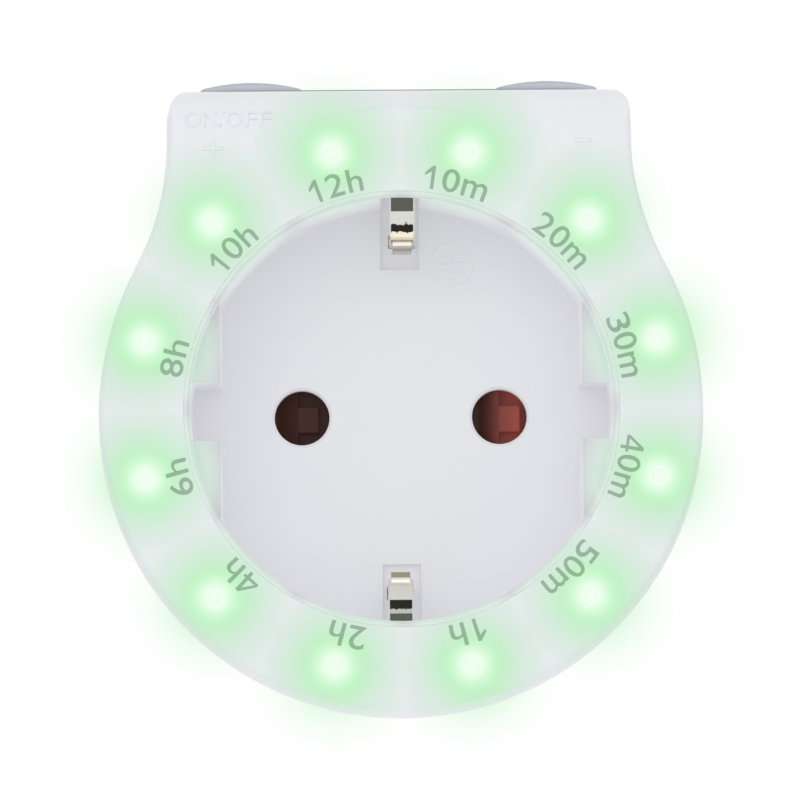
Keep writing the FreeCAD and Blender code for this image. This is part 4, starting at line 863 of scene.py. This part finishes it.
def halo_colour(tree):
    """The halo where the photograph's camera sees it round the part, and white elsewhere."""
    spot = tree.new("ShaderNodeTexCoord")
    parts = tree.new("ShaderNodeSeparateXYZ")
    tree.link(spot.outputs["Generated"], parts.inputs[0])
    along = [Value(tree.tree, parts.outputs[i]) for i in range(3)]
    reach = (FRONT - CAMERA_PLACE.y) / MM
    ahead = along[1].math("MAXIMUM", 0.05)
    x = along[0] / ahead * reach + CAMERA_PLACE.x / MM
    z = along[2] / ahead * reach + CAMERA_PLACE.z / MM
    return tree.spread(distance_on_face(x, z), HALO)


def make_world():
    """Soft daylight. The camera and reflections see plain white with the lamps' halo."""
    world = bpy.data.worlds.new("studio")
    world.use_nodes = True
    tree = Tree(world.node_tree)
    back = world.node_tree.nodes["Background"]
    back.inputs["Color"].default_value = (1, 1, 1, 1)
    back.inputs["Strength"].default_value = DAYLIGHT
    seen = tree.new("ShaderNodeBackground")
    tree.link(halo_colour(tree), seen.inputs["Color"])
    path = tree.new("ShaderNodeLightPath")
    rays = ("Is Camera Ray", "Is Glossy Ray", "Is Transmission Ray")
    camera, glossy, through = [Value(tree.tree, path.outputs[ray]) for ray in rays]
    shows = camera.math("MAXIMUM", glossy).math("MAXIMUM", through)
    join = tree.new("ShaderNodeMixShader")
    tree.link(shows.source, join.inputs[0])
    tree.link(back.outputs[0], join.inputs[1])
    tree.link(seen.outputs[0], join.inputs[2])
    tree.link(join.outputs[0], world.node_tree.nodes["World Output"].inputs["Surface"])
    bpy.context.scene.world = world


GROUND_HALF = 1.6
GROUND_HEIGHT = -80.0 * MM


def make_floor():
    """A pale floor well below the part. It keeps the part's shadow."""
    mesh = bpy.data.meshes.new("floor")
    sides = ((-1, -1), (1, -1), (1, 1), (-1, 1))
    points = [(x * GROUND_HALF, y * GROUND_HALF, GROUND_HEIGHT) for x, y in sides]
    mesh.from_pydata(points, [], [(0, 1, 2, 3)])
    material, tree, shader = new_material("floor")
    tree.link(
        tree.ramp(tree.noise(6.0), [(0.3, (0.9, 0.9, 0.9)), (0.7, (0.93, 0.93, 0.93))]),
        shader.inputs["Base Color"],
    )
    shader.inputs["Roughness"].default_value = 0.7
    mesh.materials.append(material)
    floor = bpy.data.objects.new("floor", mesh)
    bpy.context.scene.collection.objects.link(floor)


def make_camera():
    """The photograph's camera."""
    data = bpy.data.cameras.new("camera")
    data.sensor_width = SENSOR_WIDTH
    data.lens = FOCUS_DISTANCE / MM * PIXELS_PER_MM / IMAGE_SIZE * SENSOR_WIDTH
    data.clip_start = 0.01
    data.clip_end = 20.0
    camera = bpy.data.objects.new("camera", data)
    turn = camera_direction().to_track_quat("-Z", "Y").to_matrix().to_4x4()
    camera.matrix_world = (
        Matrix.Translation(CAMERA_PLACE) @ turn @ Matrix.Rotation(CAMERA_ROLL, 4, "Z")
    )
    bpy.context.scene.collection.objects.link(camera)
    bpy.context.scene.camera = camera


def make_lights():
    """A broad light from the front, a faint one from below and one from behind."""
    light_panel("front_light", (0.8, 0.7), 1.9, (-0.1, -1.0, 0.12), (0, -0.05, 0))
    light_panel("low_light", (0.16, 0.12), 0.014, (0, -0.03, -0.078), (0, -0.03, 0))
    light_panel("back_light", (0.5, 0.4), 0.3, (0.1, 0.6, 0.4), (0, -0.02, 0))


dress_nodes()
make_labels()
make_raised_marks()
make_world()
make_floor()
make_camera()
make_lights()
bpy.context.scene.view_settings.view_transform = "Standard"

bpy.context.view_layer.update()
